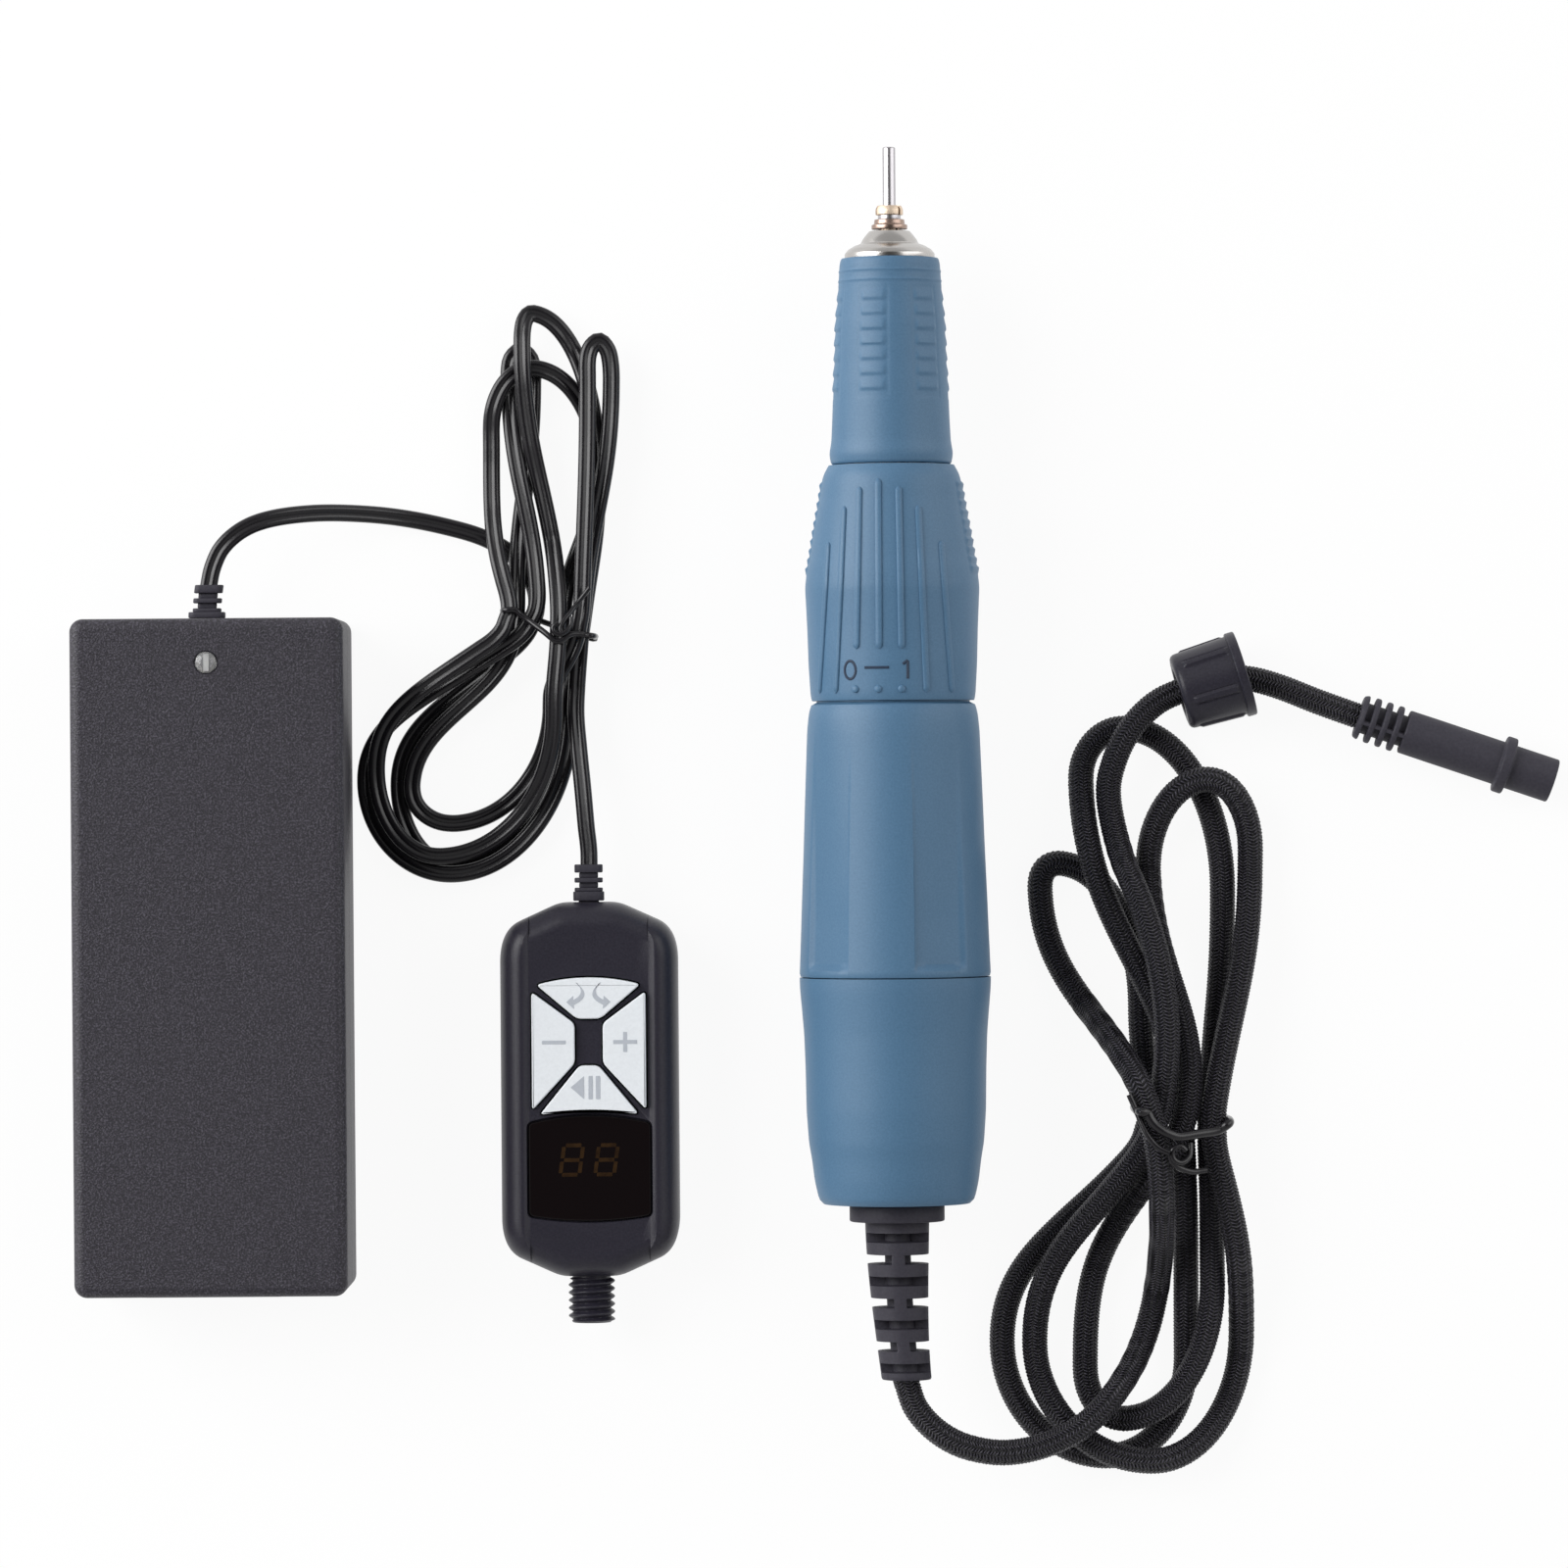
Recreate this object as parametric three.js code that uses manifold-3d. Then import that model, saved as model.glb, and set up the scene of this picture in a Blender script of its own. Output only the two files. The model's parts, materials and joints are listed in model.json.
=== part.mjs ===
// Electric nail drill set: a handpiece on a braided lead, its hand controller and a mains power box.
// Millimetres, +Z up. The set lies on a table top at z = 0, seen in plan from above, and the
// handpiece points along +Y. The origin is under the middle of the three rigid units.
import * as THREE from "three";
import { mergeVertices } from "three/addons/utils/BufferGeometryUtils.js";
import Module from "manifold-3d";

const wasm = await Module();
wasm.setup();

const drill = new THREE.Group();

// Fits
const gap = 0.3; // between pieces that touch or run in each other
const roundGap = 0.42; // the same between round pieces, whose facets lie inside their circles
const overrun = 2; // how far a cutter runs past the face that it cuts
const sideCount = { fine: 24, plain: 16, hidden: 12 };

// Layout of the set on the table
const setWidth = 168.1; // left side of the power box to right side of the handpiece
const adaptorY = -34.55;
const controllerX = 9.95;
const controllerY = -59.75;

// Handpiece, from the rear face of its cap forward along +Y
const cap = { length: 41.5, radius: 17.6, wall: 2, lipLength: 5, lipWall: 1.4, ledge: 29.5, ledgeStep: 1.6 };
const casing = {
  seam: 0.5, length: 50.2, radius: 17.6, wall: 2,
  panelDepth: 0.8, panelHalfAngle: 21, panelSideAngle: 65, panelStart: 1.4, panelLength: 41, turn: -9.5,
};
const ring = {
  seam: 0.5, length: 42.9, radius: 16.05, wall: 1.9, bearLength: 3, bearRadius: 9.6,
  ribPitch: 16.8, ribCount: 7, ribWidth: 1.7, ribRaise: 0.5,
  dotRadius: 0.45, dotRaise: 0.3, dotPlace: 1.8, travel: 33.6, sleeveTravel: 0.8,
  camBore: 11.7, camLength: 7,
};
const grip = { seam: 0.7, length: 37.5, radius: 11.4, wall: 1.5 };
const nose = { seam: 0.35, length: 4.7, radius: 8.2, bore: 3.6, skirtLength: 8 };
const chuckRing = { seam: 0.35, length: 1.8, radius: 3.25, chamfer: 0.3 };
const collet = {
  seam: 0.35, headLength: 2.2, headRadius: 2.53, tipRadius: 2.16, bodyRadius: 1.8, bodyLength: 21,
  slots: 3, slotWidth: 0.5, slotLength: 9, boreSpare: 0.34,
};
const bit = { radius: 1.175, projection: 10.8, hold: 18, chamfer: 0.3 };
const boot = {
  flangeRadius: 8.75, flangeLength: 3, length: 32.45, baseRadius: 5.9, tipRadius: 4.6,
  neckRadius: 5.2, innerRadius: 7, innerLength: 1.8,
  slotPitch: 4, slotWidth: 1.4, slotCount: 7, firstSlot: 6.2, coreHalf: 2.5, drift: 1.9,
};

// Drive train inside the handpiece
const spindle = { radius: 3, bore: 2.2, wallEnd: 3, tailRadius: 2, tailLength: 6, rear: 118 };
const bearing = {
  frontRadius: 6.5, frontLength: 5, rearRadius: 7.75, rearLength: 5, chamfer: 0.4, rearSeat: 124,
};
const spring = { radius: 5.9, wire: 1, turns: 6, sides: 5, steps: 8 };
const carrier = { radius: 9, bore: 8.3, front: 141, flangeRadius: 12.6, flangeLength: 2.4, rearBore: 5 };
const sleeve = { radius: 11.2, length: 13, rear: 110, pinRadius: 0.9, pinRaise: 1.9, pinClearance: 0.35 };
const coupling = { radius: 4.4, length: 15, shaftDepth: 7 };
const motor = {
  radius: 13.3, length: 34, wall: 1.3, rear: 50, bossRadius: 5, bossLength: 2.2, bellLength: 3,
  brushWidth: 2.4, brushHeight: 2.4,
};
const rotor = {
  radius: 11, length: 23, shaftRadius: 1.15, shaftRear: 46.4, coreRear: 57.5,
  commutatorRadius: 3.2, commutatorLength: 5, commutatorRear: 51.2,
};
const rotorBearing = { radius: 4, length: 3 };
const filterBoard = { thickness: 1.6, padRadius: 4, padLength: 3 };

// Hand controller, about its own middle, lying on its back
const pad = {
  width: 32.8, length: 69, height: 18, wall: 1.8, endHalf: 5.45, shoulderHalf: 12.7, shoulderDepth: 3.3,
  sideStart: 11, topInset: 4.2, topDrop: 5.6, baseInset: 3, baseDrop: 3.4,
  bandHalf: 11.05, bandEnd: 4, bandDepth: 0.5, bandCorner: 2.5,
};
const keys = {
  y: 9.1, rise: 1.15, depth: 4.4, corner: 0.9, crown: 0.35, travel: 0.5, stemRadius: 1.4, stemGap: 0.8,
  innerHalf: 2.6, innerReach: 3.25, innerDrop: 4.1, outerHalf: 10.5, outerReach: 9.1, outerDrop: 12.7,
  topHalf: 9.6, topReach: 10.4, topArc: 1.3, topFoot: 4.1, topFootHalf: 2.15,
  lowHalf: 9, lowReach: 13.5, lowFoot: 4.5, lowFootHalf: 1.75,
};
const glass = {
  y: -14.7, width: 22, height: 18.2, arc: 1, thickness: 1.1, corner: 0.8, ledge: 1.4, proud: 0.1,
};
const display = { width: 19, height: 13, depth: 6.6, bezel: 0.6 };
const board = { width: 25, endRoom: 7.5, thickness: 1.6, z: 6.3, postRadius: 1.8, postInset: 3.5 };
const button = { size: 6, height: 3.5, capRadius: 1.7, capHeight: 0.6 };
const spigot = { radius: 4.1, length: 8.7, bore: 3.1, flangeRadius: 4.7, flangeLength: 1.5, chamfer: 0.5 };
const socket = { length: 7, recess: 0.8, holeRadius: 0.5, holeCircle: 1.5, holes: 3 };

// Small ribbed bushing on the thin twin cord, shared by the power box and the controller
const bushing = {
  ringHalf: 2.6, ringHeight: 1.8, coreHalf: 1.75, coreHeight: 1.05, neckHalf: 1.9, neckHeight: 1.3,
  lowRing: 0.7, slot: 0.95, midRing: 0.9, topRing: 1.5, innerHalf: 3.6, innerLength: 1.5, round: 0.6,
};
const padBush = { baseHalf: 2.85, baseHeight: 2.2, baseLength: 1.7, drift: 0 };
const boxBush = { baseHalf: 3.35, baseHeight: 2.4, baseLength: 1.1, drift: 0.5, shift: -0.8 };

// Mains power box
const box = { width: 50, length: 124, height: 31, wall: 2, corner: 2.2, edge: 1.8 };
const lamp = { radius: 2, dome: 0.9, flangeRadius: 2.7, flangeLength: 1, tailLength: 3.5, inset: 8.1 };
const inlet = {
  width: 26, height: 18.4, depth: 21, proud: 0.3, wall: 1.05, floor: 2.5, corner: 1.2, chamfer: 3.6,
  pinWidth: 2, pinHeight: 4, pinLength: 14, pinPitch: 7, pinOffset: 2, tail: 4,
};
const boxBoard = {
  sideRoom: 5, inletRoom: 30, endRoom: 6, thickness: 1.6, z: 5, postRadius: 2.4, postInset: 8, postSideInset: 5,
};
const transformer = {
  width: 24, length: 22, height: 18, coreWall: 5, windingRadius: 7.6, shiftShare: -0.045,
};
const capacitor = { radius: 8, length: 20, shiftShare: -0.364, chamfer: 0.8 };

// Plug on the braided lead, and the union nut that slides on that lead
const plug = {
  x: 152.9, y: 8.1, angle: -18.9, length: 38.1, bore: 3.2, boreDepth: 8, chamfer: 0.5,
  bootRadius: 4.25, coreRadius: 2.9, ringLength: 1, ringPitch: 2.24, rings: 4,
  bodyStart: 9.4, bodyRadius: 4.1, collarStart: 27.6, collarLength: 2, collarRadius: 5.35, tipRadius: 4.1,
};
const contacts = { discLength: 2.5, pinRadius: 0.45, pinLength: 4, pinCircle: 1.6, pins: 3 };
const nut = {
  x: 119.6, y: 12.7, angle: 16.4, length: 12.7, rearRadius: 7.1, radius: 7.5, rimRadius: 8, rimLength: 1.8,
  bore: 5.6, shoulder: 2.2, hole: 4.5, edge: 0.6,
  grips: 8, gripLength: 8, gripWidth: 2.6, gripRaise: 0.35, gripStart: 1.6,
};

// Cords. The twin cord is flat, and the braided one round
const twin = { width: 3.2, thickness: 1.7 };
const braid = { width: 4.7, thickness: 4.7 };
const lay = {
  step: 2, spare: 0.75, sideSpare: 0.5, lift: 0.2, level: 4, fall: 34, hump: 8, rounds: 30,
  tieReach: 4, easeReach: 12, easeCount: 3, endClearShare: 1.6, probe: 0.8,
  turn: 24, longest: 12, stride: 2, fewest: 8, waistShare: 0.45, bellyShare: 0.45, roundShare: 0.55,
};
const cordSides = { free: 8, wound: 6, tie: 6 };
const tieTail = 5;

const paint = {
  blue: [0x4f6e8f, 0.45, 0], blueDark: [0x46627f, 0.5, 0], black: [0x2b2a30, 0.6, 0],
  shell: [0x2d2c32, 0.4, 0],
  box: [0x3d3c42, 0.75, 0], key: [0xd8dcdf, 0.4, 0], glass: [0x150f11, 0.08, 0], steel: [0xb4b6ba, 0.3, 1],
  brass: [0xc8a58a, 0.35, 1], chrome: [0xd0d2d4, 0.12, 1], rubber: [0x343238, 0.75, 0],
  cord: [0x17161a, 0.5, 0],
  weave: [0x171215, 0.9, 0], board: [0x2f5f3c, 0.6, 0], copper: [0xb06a3a, 0.4, 1], clear: [0xe6e8ea, 0.1, 0],
  white: [0xd9d8d2, 0.5, 0],
};

// Shared tools

function addMesh(name, geometry, look, parent = drill) {
  const [color, roughness, metalness] = paint[look];
  const material = new THREE.MeshStandardMaterial({ color, roughness, metalness });
  const mesh = new THREE.Mesh(geometry, material);
  mesh.name = name;
  parent.add(mesh);
  return mesh;
}

function cornersOf(geometry) {
  const points = [];
  const position = geometry.attributes.position;
  for (let i = 0; i < position.count; i += 1) {
    points.push(new THREE.Vector3().fromBufferAttribute(position, i));
  }
  return points;
}

// Merges shared corners, drops triangles that an axis point flattens, and turns the faces outward
function weld(geometry) {
  geometry.deleteAttribute("normal");
  geometry.deleteAttribute("uv");
  const merged = mergeVertices(geometry);
  const index = merged.index.array;
  const points = cornersOf(merged);
  const kept = [];
  let volume = 0;
  for (let i = 0; i < index.length; i += 3) {
    const [a, b, c] = [index[i], index[i + 1], index[i + 2]];
    if (a !== b && b !== c && c !== a) {
      kept.push([a, b, c]);
      volume += points[a].dot(new THREE.Vector3().crossVectors(points[b], points[c]));
    }
  }
  merged.setIndex(kept.flatMap(([a, b, c]) => (volume < 0 ? [a, c, b] : [a, b, c])));
  return merged;
}

function toSolid(geometry) {
  const merged = weld(geometry);
  const vertProperties = new Float32Array(merged.attributes.position.array);
  const triVerts = new Uint32Array(merged.index.array);
  return new wasm.Manifold(new wasm.Mesh({ numProp: 3, vertProperties, triVerts }));
}

function toGeometry(body) {
  const mesh = body.getMesh();
  const geometry = new THREE.BufferGeometry();
  geometry.setAttribute("position", new THREE.BufferAttribute(mesh.vertProperties, mesh.numProp));
  geometry.setIndex(new THREE.BufferAttribute(mesh.triVerts, 1));
  return geometry;
}

function join(base, ...others) {
  return toGeometry(others.reduce((body, other) => body.add(toSolid(other)), toSolid(base)));
}

function cut(base, ...cutters) {
  return toGeometry(cutters.reduce((body, cutter) => body.subtract(toSolid(cutter)), toSolid(base)));
}

// A solid of revolution about the Y axis: pairs of radius and place along the axis, going round
function turned(pairs, sides) {
  const profile = pairs.map(([radius, along]) => new THREE.Vector2(radius, along));
  if (profile[0].x > 0 || profile[profile.length - 1].x > 0) {
    profile.push(profile[0].clone());
  }
  return weld(new THREE.LatheGeometry(profile, sides));
}

// Pairs for an outer surface whose table holds shares of a length and of a radius
function fromShares(shares, start, length, radius) {
  return shares.map(([lengthShare, radiusShare]) => [radius * radiusShare, start + length * lengthShare]);
}

function radiusOf(pairs, along) {
  for (let i = 0; i + 1 < pairs.length; i += 1) {
    const [[r0, y0], [r1, y1]] = [pairs[i], pairs[i + 1]];
    if (along >= y0 && along <= y1) {
      return r0 + ((r1 - r0) * (along - y0)) / (y1 - y0);
    }
  }
  return along < pairs[0][1] ? pairs[0][0] : pairs[pairs.length - 1][0];
}

// Triangles of a flat loop, in the order that the loop runs
function capOf(loop) {
  const normal = new THREE.Vector3();
  loop.forEach((point, i) => {
    normal.add(new THREE.Vector3().crossVectors(point, loop[(i + 1) % loop.length]));
  });
  normal.normalize();
  const across = Math.abs(normal.z) < 0.9 ? new THREE.Vector3(0, 0, 1) : new THREE.Vector3(1, 0, 0);
  const u = new THREE.Vector3().crossVectors(across, normal).normalize();
  const v = new THREE.Vector3().crossVectors(normal, u);
  const flat = loop.map((point) => new THREE.Vector2(point.dot(u), point.dot(v)));
  return THREE.ShapeUtils.triangulateShape(flat, []).map(([a, b, c]) => {
    const turn = THREE.ShapeUtils.area([flat[a], flat[b], flat[c]]);
    return turn < 0 ? [a, c, b] : [a, b, c];
  });
}

// A closed skin through loops of equally many points
function loft(loops) {
  const count = loops[0].length;
  const geometry = new THREE.BufferGeometry();
  const numbers = loops.flat().flatMap((point) => [point.x, point.y, point.z]);
  geometry.setAttribute("position", new THREE.Float32BufferAttribute(numbers, 3));
  const index = [];
  for (let row = 0; row + 1 < loops.length; row += 1) {
    for (let k = 0; k < count; k += 1) {
      const a = row * count + k;
      const b = row * count + ((k + 1) % count);
      index.push(a, b, a + count, b, b + count, a + count);
    }
  }
  const last = (loops.length - 1) * count;
  capOf(loops[0]).forEach(([a, b, c]) => index.push(a, c, b));
  capOf(loops[loops.length - 1]).forEach(([a, b, c]) => index.push(last + a, last + b, last + c));
  geometry.setIndex(index);
  return weld(geometry);
}

function insetOutline(outline, inset) {
  return outline.map((point, i) => {
    const before = outline[(i + outline.length - 1) % outline.length];
    const after = outline[(i + 1) % outline.length];
    const first = new THREE.Vector2(point.y - before.y, before.x - point.x).normalize();
    const second = new THREE.Vector2(after.y - point.y, point.x - after.x).normalize();
    const outwards = first.clone().add(second);
    const reach = inset / Math.max(outwards.lengthSq() / 2, 0.5);
    return point.clone().addScaledVector(outwards, -reach);
  });
}

// An upright solid over an outline, drawn in by an inset at each level: pairs of height and inset
function slab(outline, levels) {
  return loft(levels.map(([z, inset]) => {
    return insetOutline(outline, inset).map((p) => new THREE.Vector3(p.x, p.y, z));
  }));
}

function roundedRectangle(halfX, halfY, corner, steps = 3) {
  const points = [];
  [[1, 1], [-1, 1], [-1, -1], [1, -1]].forEach(([sx, sy], quarter) => {
    for (let k = 0; k <= steps; k += 1) {
      const angle = (Math.PI / 2) * (quarter + k / steps);
      const x = sx * (halfX - corner) + corner * Math.cos(angle);
      const y = sy * (halfY - corner) + corner * Math.sin(angle);
      points.push(new THREE.Vector2(x, y));
    }
  });
  return points;
}

function circleOutline(radius, sides) {
  return Array.from({ length: sides }, (_, k) => {
    const angle = (2 * Math.PI * k) / sides;
    return new THREE.Vector2(radius * Math.cos(angle), radius * Math.sin(angle));
  });
}

// A polygon that runs anticlockwise, with its corners rounded
function roundedPolygon(corners, radius, steps = 2) {
  const shape = new THREE.Shape();
  corners.forEach((corner, i) => {
    const before = corners[(i + corners.length - 1) % corners.length];
    const after = corners[(i + 1) % corners.length];
    const enter = corner.clone().add(before.clone().sub(corner).setLength(radius));
    const leave = corner.clone().add(after.clone().sub(corner).setLength(radius));
    if (i === 0) {
      shape.moveTo(enter.x, enter.y);
    } else {
      shape.lineTo(enter.x, enter.y);
    }
    shape.quadraticCurveTo(corner.x, corner.y, leave.x, leave.y);
  });
  const least = radius / 100;
  return shape.getPoints(steps).filter((point, i, all) => i === 0 || point.distanceTo(all[i - 1]) > least);
}

// Adds points along a straight side that bows outward by an arc's height
function bowed(start, end, height, steps) {
  const points = [];
  for (let k = 1; k < steps; k += 1) {
    const t = k / steps;
    const point = start.clone().lerp(end, t);
    const away = new THREE.Vector2(end.y - start.y, start.x - end.x).normalize();
    points.push(point.addScaledVector(away, height * 4 * t * (1 - t)));
  }
  return points;
}

function block(width, length, height) {
  return new THREE.BoxGeometry(width, length, height);
}

function rod(radius, length, sides) {
  return new THREE.CylinderGeometry(radius, radius, length, sides);
}

function onAxis(radius, along, degrees) {
  const angle = THREE.MathUtils.degToRad(degrees);
  return new THREE.Vector3(radius * Math.sin(angle), along, radius * Math.cos(angle));
}

// A patch that wraps round the Y axis: from the inner to the outer height over a surface,
// between two angles from +Z towards +X, at places along the axis
function wrapped(surface, angles, places, outer, inner) {
  return loft(places.map((along, row) => {
    const high = angles.map((angle) => onAxis(surface(along) + outer(row), along, angle));
    const low = angles.map((angle) => onAxis(surface(along) + inner(row), along, angle)).reverse();
    return [...high, ...low];
  }));
}

function steps(from, to, count) {
  return Array.from({ length: count + 1 }, (_, k) => from + ((to - from) * k) / count);
}

// Handpiece

const handpiece = new THREE.Group();
const casingRear = cap.length + casing.seam;
const ringRear = casingRear + casing.length + ring.seam;
const gripRear = ringRear + ring.length + grip.seam;
const noseRear = gripRear + grip.length + nose.seam;
const chuckRear = noseRear + nose.length + chuckRing.seam;
const colletRear = chuckRear + chuckRing.length + collet.seam;
const headFront = colletRear + collet.headLength;
const setLength = boot.length + headFront + bit.projection;
handpiece.position.set(setWidth / 2 - cap.radius, boot.length - setLength / 2, cap.radius);
drill.add(handpiece);

const capShares = [
  [0, 0.77], [0.018, 0.815], [0.1, 0.857], [0.28, 0.916], [0.41, 0.938], [0.75, 0.957], [0.95, 0.997], [1, 1],
];
const casingShares = [[0, 1], [0.28, 0.969], [0.62, 0.932], [0.9, 0.9], [0.965, 0.875], [1, 0.82]];
const ringShares = [
  [0, 0.915], [0.02, 0.945], [0.305, 0.978], [0.48, 1], [0.556, 0.978], [0.607, 0.947], [0.91, 0.81],
  [0.96, 0.78], [1, 0.725],
];
// Rear and front ends of the twist ring's ribs, from the middle one outward
const ribEndShares = [[0.27, 0.94], [0.25, 0.9], [0.07, 0.8], [0.07, 0.71]];
const gripShares = [
  [0, 0.96], [0.04, 1], [0.11, 0.965], [0.685, 0.884], [0.87, 0.83], [0.985, 0.807], [1, 0.78],
];
const noseShares = [
  [0, 1], [0.2, 0.995], [0.39, 0.935], [0.68, 0.66], [0.7, 0.61], [0.85, 0.6], [0.87, 0.53], [1, 0.518],
];

function rearCap() {
  const outer = fromShares(capShares, 0, cap.length, cap.radius);
  const lipOuter = cap.radius - casing.wall - 2 * gap;
  const lipInner = lipOuter - cap.lipWall;
  const deep = outer.slice(2, -1).map(([radius, along]) => [radius - cap.wall, along]).reverse();
  const wide = deep.filter(([, along]) => along > cap.ledge);
  const narrow = deep.filter(([, along]) => along < cap.ledge - cap.wall);
  const ledgeRadius = radiusOf(outer, cap.ledge) - cap.wall;
  const lipFront = cap.length + cap.lipLength;
  const front = [[lipOuter, cap.length], [lipOuter, lipFront], [lipInner, lipFront], [lipInner, cap.length]];
  const ledge = [[ledgeRadius, cap.ledge], [ledgeRadius - cap.ledgeStep, cap.ledge]];
  const inner = [...wide.filter(([radius]) => radius < lipInner), ...ledge,
    ...narrow.map(([radius, along]) => [radius - cap.ledgeStep, along])];
  const end = inner[inner.length - 1];
  const floor = [[end[0], cap.wall], [boot.neckRadius + roundGap, cap.wall], [boot.neckRadius + roundGap, 0]];
  return turned([...outer, ...front, ...inner, ...floor], sideCount.fine);
}

function motorHousing() {
  const outer = fromShares(casingShares, casingRear, casing.length, casing.radius);
  const inner = outer.slice(1, -1).map(([radius, along]) => [radius - casing.wall, along]).reverse();
  const front = casingRear + casing.length;
  const rearBore = casing.radius - casing.wall;
  const mouth = [[carrier.radius + roundGap, front], [carrier.radius + roundGap, front - casing.wall]];
  const bore = [[inner[0][0], front - casing.wall], ...inner, [rearBore, casingRear]];
  const shell = turned([...outer, ...mouth, ...bore], sideCount.fine);
  const surface = (along) => radiusOf(outer, along);
  const panelRear = casingRear + casing.panelStart;
  const places = steps(panelRear, panelRear + casing.panelLength, 6);
  const last = places.length - 1;
  const depth = (row) => (row < last ? -casing.panelDepth : 0);
  const cutters = [1, -1].map((side) => {
    const angles = steps(side * casing.panelHalfAngle, side * casing.panelSideAngle, 5);
    return wrapped(surface, angles.map((angle) => casing.turn + angle), places, () => overrun, depth);
  });
  return cut(shell, ...cutters);
}

const ringOuter = fromShares(ringShares, ringRear, ring.length, ring.radius);
const grooveSteps = 8;
const sleeveFront = sleeve.rear + sleeve.length;

function twistRing() {
  const front = ringRear + ring.length;
  const inner = ringOuter.slice(1, -2)
    .filter(([, along]) => along < front - ring.bearLength)
    .map(([radius, along]) => [radius - ring.wall, along]).reverse();
  const mouth = [[ring.bearRadius, front], [ring.bearRadius, front - ring.bearLength]];
  const camMiddle = sleeveFront - sleeve.length / 2;
  const camEnds = [camMiddle + ring.camLength / 2, camMiddle - ring.camLength / 2];
  const [camFront, camRear] = camEnds.map((along) => [radiusOf(ringOuter, along) - ring.wall, along]);
  const hollow = [
    [inner[0][0], front - ring.bearLength], ...inner.filter(([, along]) => along > camFront[1]), camFront,
    [ring.camBore, camFront[1]], [ring.camBore, camRear[1]], camRear,
    ...inner.filter(([, along]) => along < camRear[1]), [inner[inner.length - 1][0], ringRear],
  ];
  const shell = turned([...ringOuter, ...mouth, ...hollow], sideCount.fine);
  const surface = (along) => radiusOf(ringOuter, along);
  const outermost = (ring.ribCount - 1) / 2;
  const rib = (turn, k) => {
    const middle = casing.turn + turn + ring.ribPitch * k;
    const half = THREE.MathUtils.radToDeg(ring.ribWidth / 2 / ring.radius);
    const [rear, front] = ribEndShares[Math.abs(k)];
    const shares = [rear, ringShares[3][0], ringShares[5][0], front];
    const places = shares.map((share) => ringRear + ring.length * share);
    const raise = (row) => (row < places.length - 1 ? ring.ribRaise : 0);
    return wrapped(surface, [middle - half, middle + half], places, raise, () => -ring.wall / 2);
  };
  const places = steps(-outermost, outermost, ring.ribCount - 1);
  const ribs = [0, 180].flatMap((turn) => places.map((k) => rib(turn, k)));
  const dots = [-1, 0, 1].map((k) => {
    const along = ringRear + ring.dotPlace;
    const angle = casing.turn + ring.ribPitch * k;
    const dot = rod(ring.dotRadius, 2 * ring.dotRaise + ring.wall / 2, 8);
    dot.rotateX(Math.PI / 2);
    dot.translate(0, along, surface(along) - ring.wall / 4);
    dot.rotateY(THREE.MathUtils.degToRad(angle));
    return dot;
  });
  const body = join(shell, ...ribs, ...dots);
  const groove = (turn) => {
    const angles = steps(turn - ring.travel - ring.ribPitch, turn + ring.ribPitch, grooveSteps);
    const half = sleeve.pinRadius + sleeve.pinClearance;
    const floorRadius = sleeve.radius + sleeve.pinRaise + sleeve.pinClearance;
    const rise = ring.sleeveTravel / ring.travel;
    return loft(angles.map((angle) => {
      const place = camMiddle + (turn - angle) * rise;
      const [low, high] = [place - half, place + half];
      const corners = [[sleeve.radius, low], [floorRadius, low], [floorRadius, high], [sleeve.radius, high]];
      return corners.map(([radius, along]) => onAxis(radius, along, angle));
    }));
  };
  return cut(body, groove(0), groove(180));
}

const gripOuter = fromShares(gripShares, gripRear, grip.length, grip.radius);

function frontGrip() {
  const front = gripRear + grip.length;
  const inner = gripOuter.slice(1, -1).map(([radius, along]) => [radius - grip.wall, along]).reverse();
  const mouth = [[inner[0][0], front], ...inner, [inner[inner.length - 1][0], gripRear]];
  return turned([...gripOuter, ...mouth], sideCount.fine);
}

function noseCone() {
  const outer = fromShares(noseShares, noseRear, nose.length, nose.radius);
  const front = noseRear + nose.length;
  const gripBore = gripOuter[gripOuter.length - 2][0] - grip.wall;
  const skirt = gripBore - gap;
  const seat = bearing.frontRadius + roundGap;
  const stop = noseRear - nose.seam;
  return turned([
    [skirt, noseRear - nose.skirtLength], [skirt, noseRear], ...outer,
    [nose.bore, front], [nose.bore, stop], [seat, stop], [seat, noseRear - nose.skirtLength],
  ], sideCount.fine);
}

function bearingRing(outerRadius, shaftRadius, rear, length) {
  const c = bearing.chamfer;
  const bore = shaftRadius + gap;
  return turned([
    [bore, rear], [outerRadius - c, rear], [outerRadius, rear + c], [outerRadius, rear + length - c],
    [outerRadius - c, rear + length], [bore, rear + length],
  ], sideCount.hidden);
}

const frontBearingRear = noseRear - nose.seam - gap - bearing.frontLength;
const rearBearingFront = bearing.rearSeat + bearing.rearLength;
const couplingRear = spindle.rear + spindle.wallEnd - coupling.length;

function spindleShaft() {
  const s = spindle;
  const step = s.rear + s.wallEnd;
  const front = chuckRear - chuckRing.seam;
  return turned([
    [0, step - s.tailLength], [s.tailRadius, step - s.tailLength], [s.tailRadius, step], [s.radius, step],
    [s.radius, front], [s.bore + gap, front], [s.bore, front - gap], [s.bore, step + s.wallEnd],
    [0, step + s.wallEnd],
  ], sideCount.hidden);
}

function chuckRingBody() {
  const front = chuckRear + chuckRing.length;
  return turned([
    [spindle.bore, chuckRear], [chuckRing.radius, chuckRear], [chuckRing.radius, front - chuckRing.chamfer],
    [chuckRing.radius - chuckRing.chamfer, front], [spindle.bore, front],
  ], sideCount.plain);
}

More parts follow.
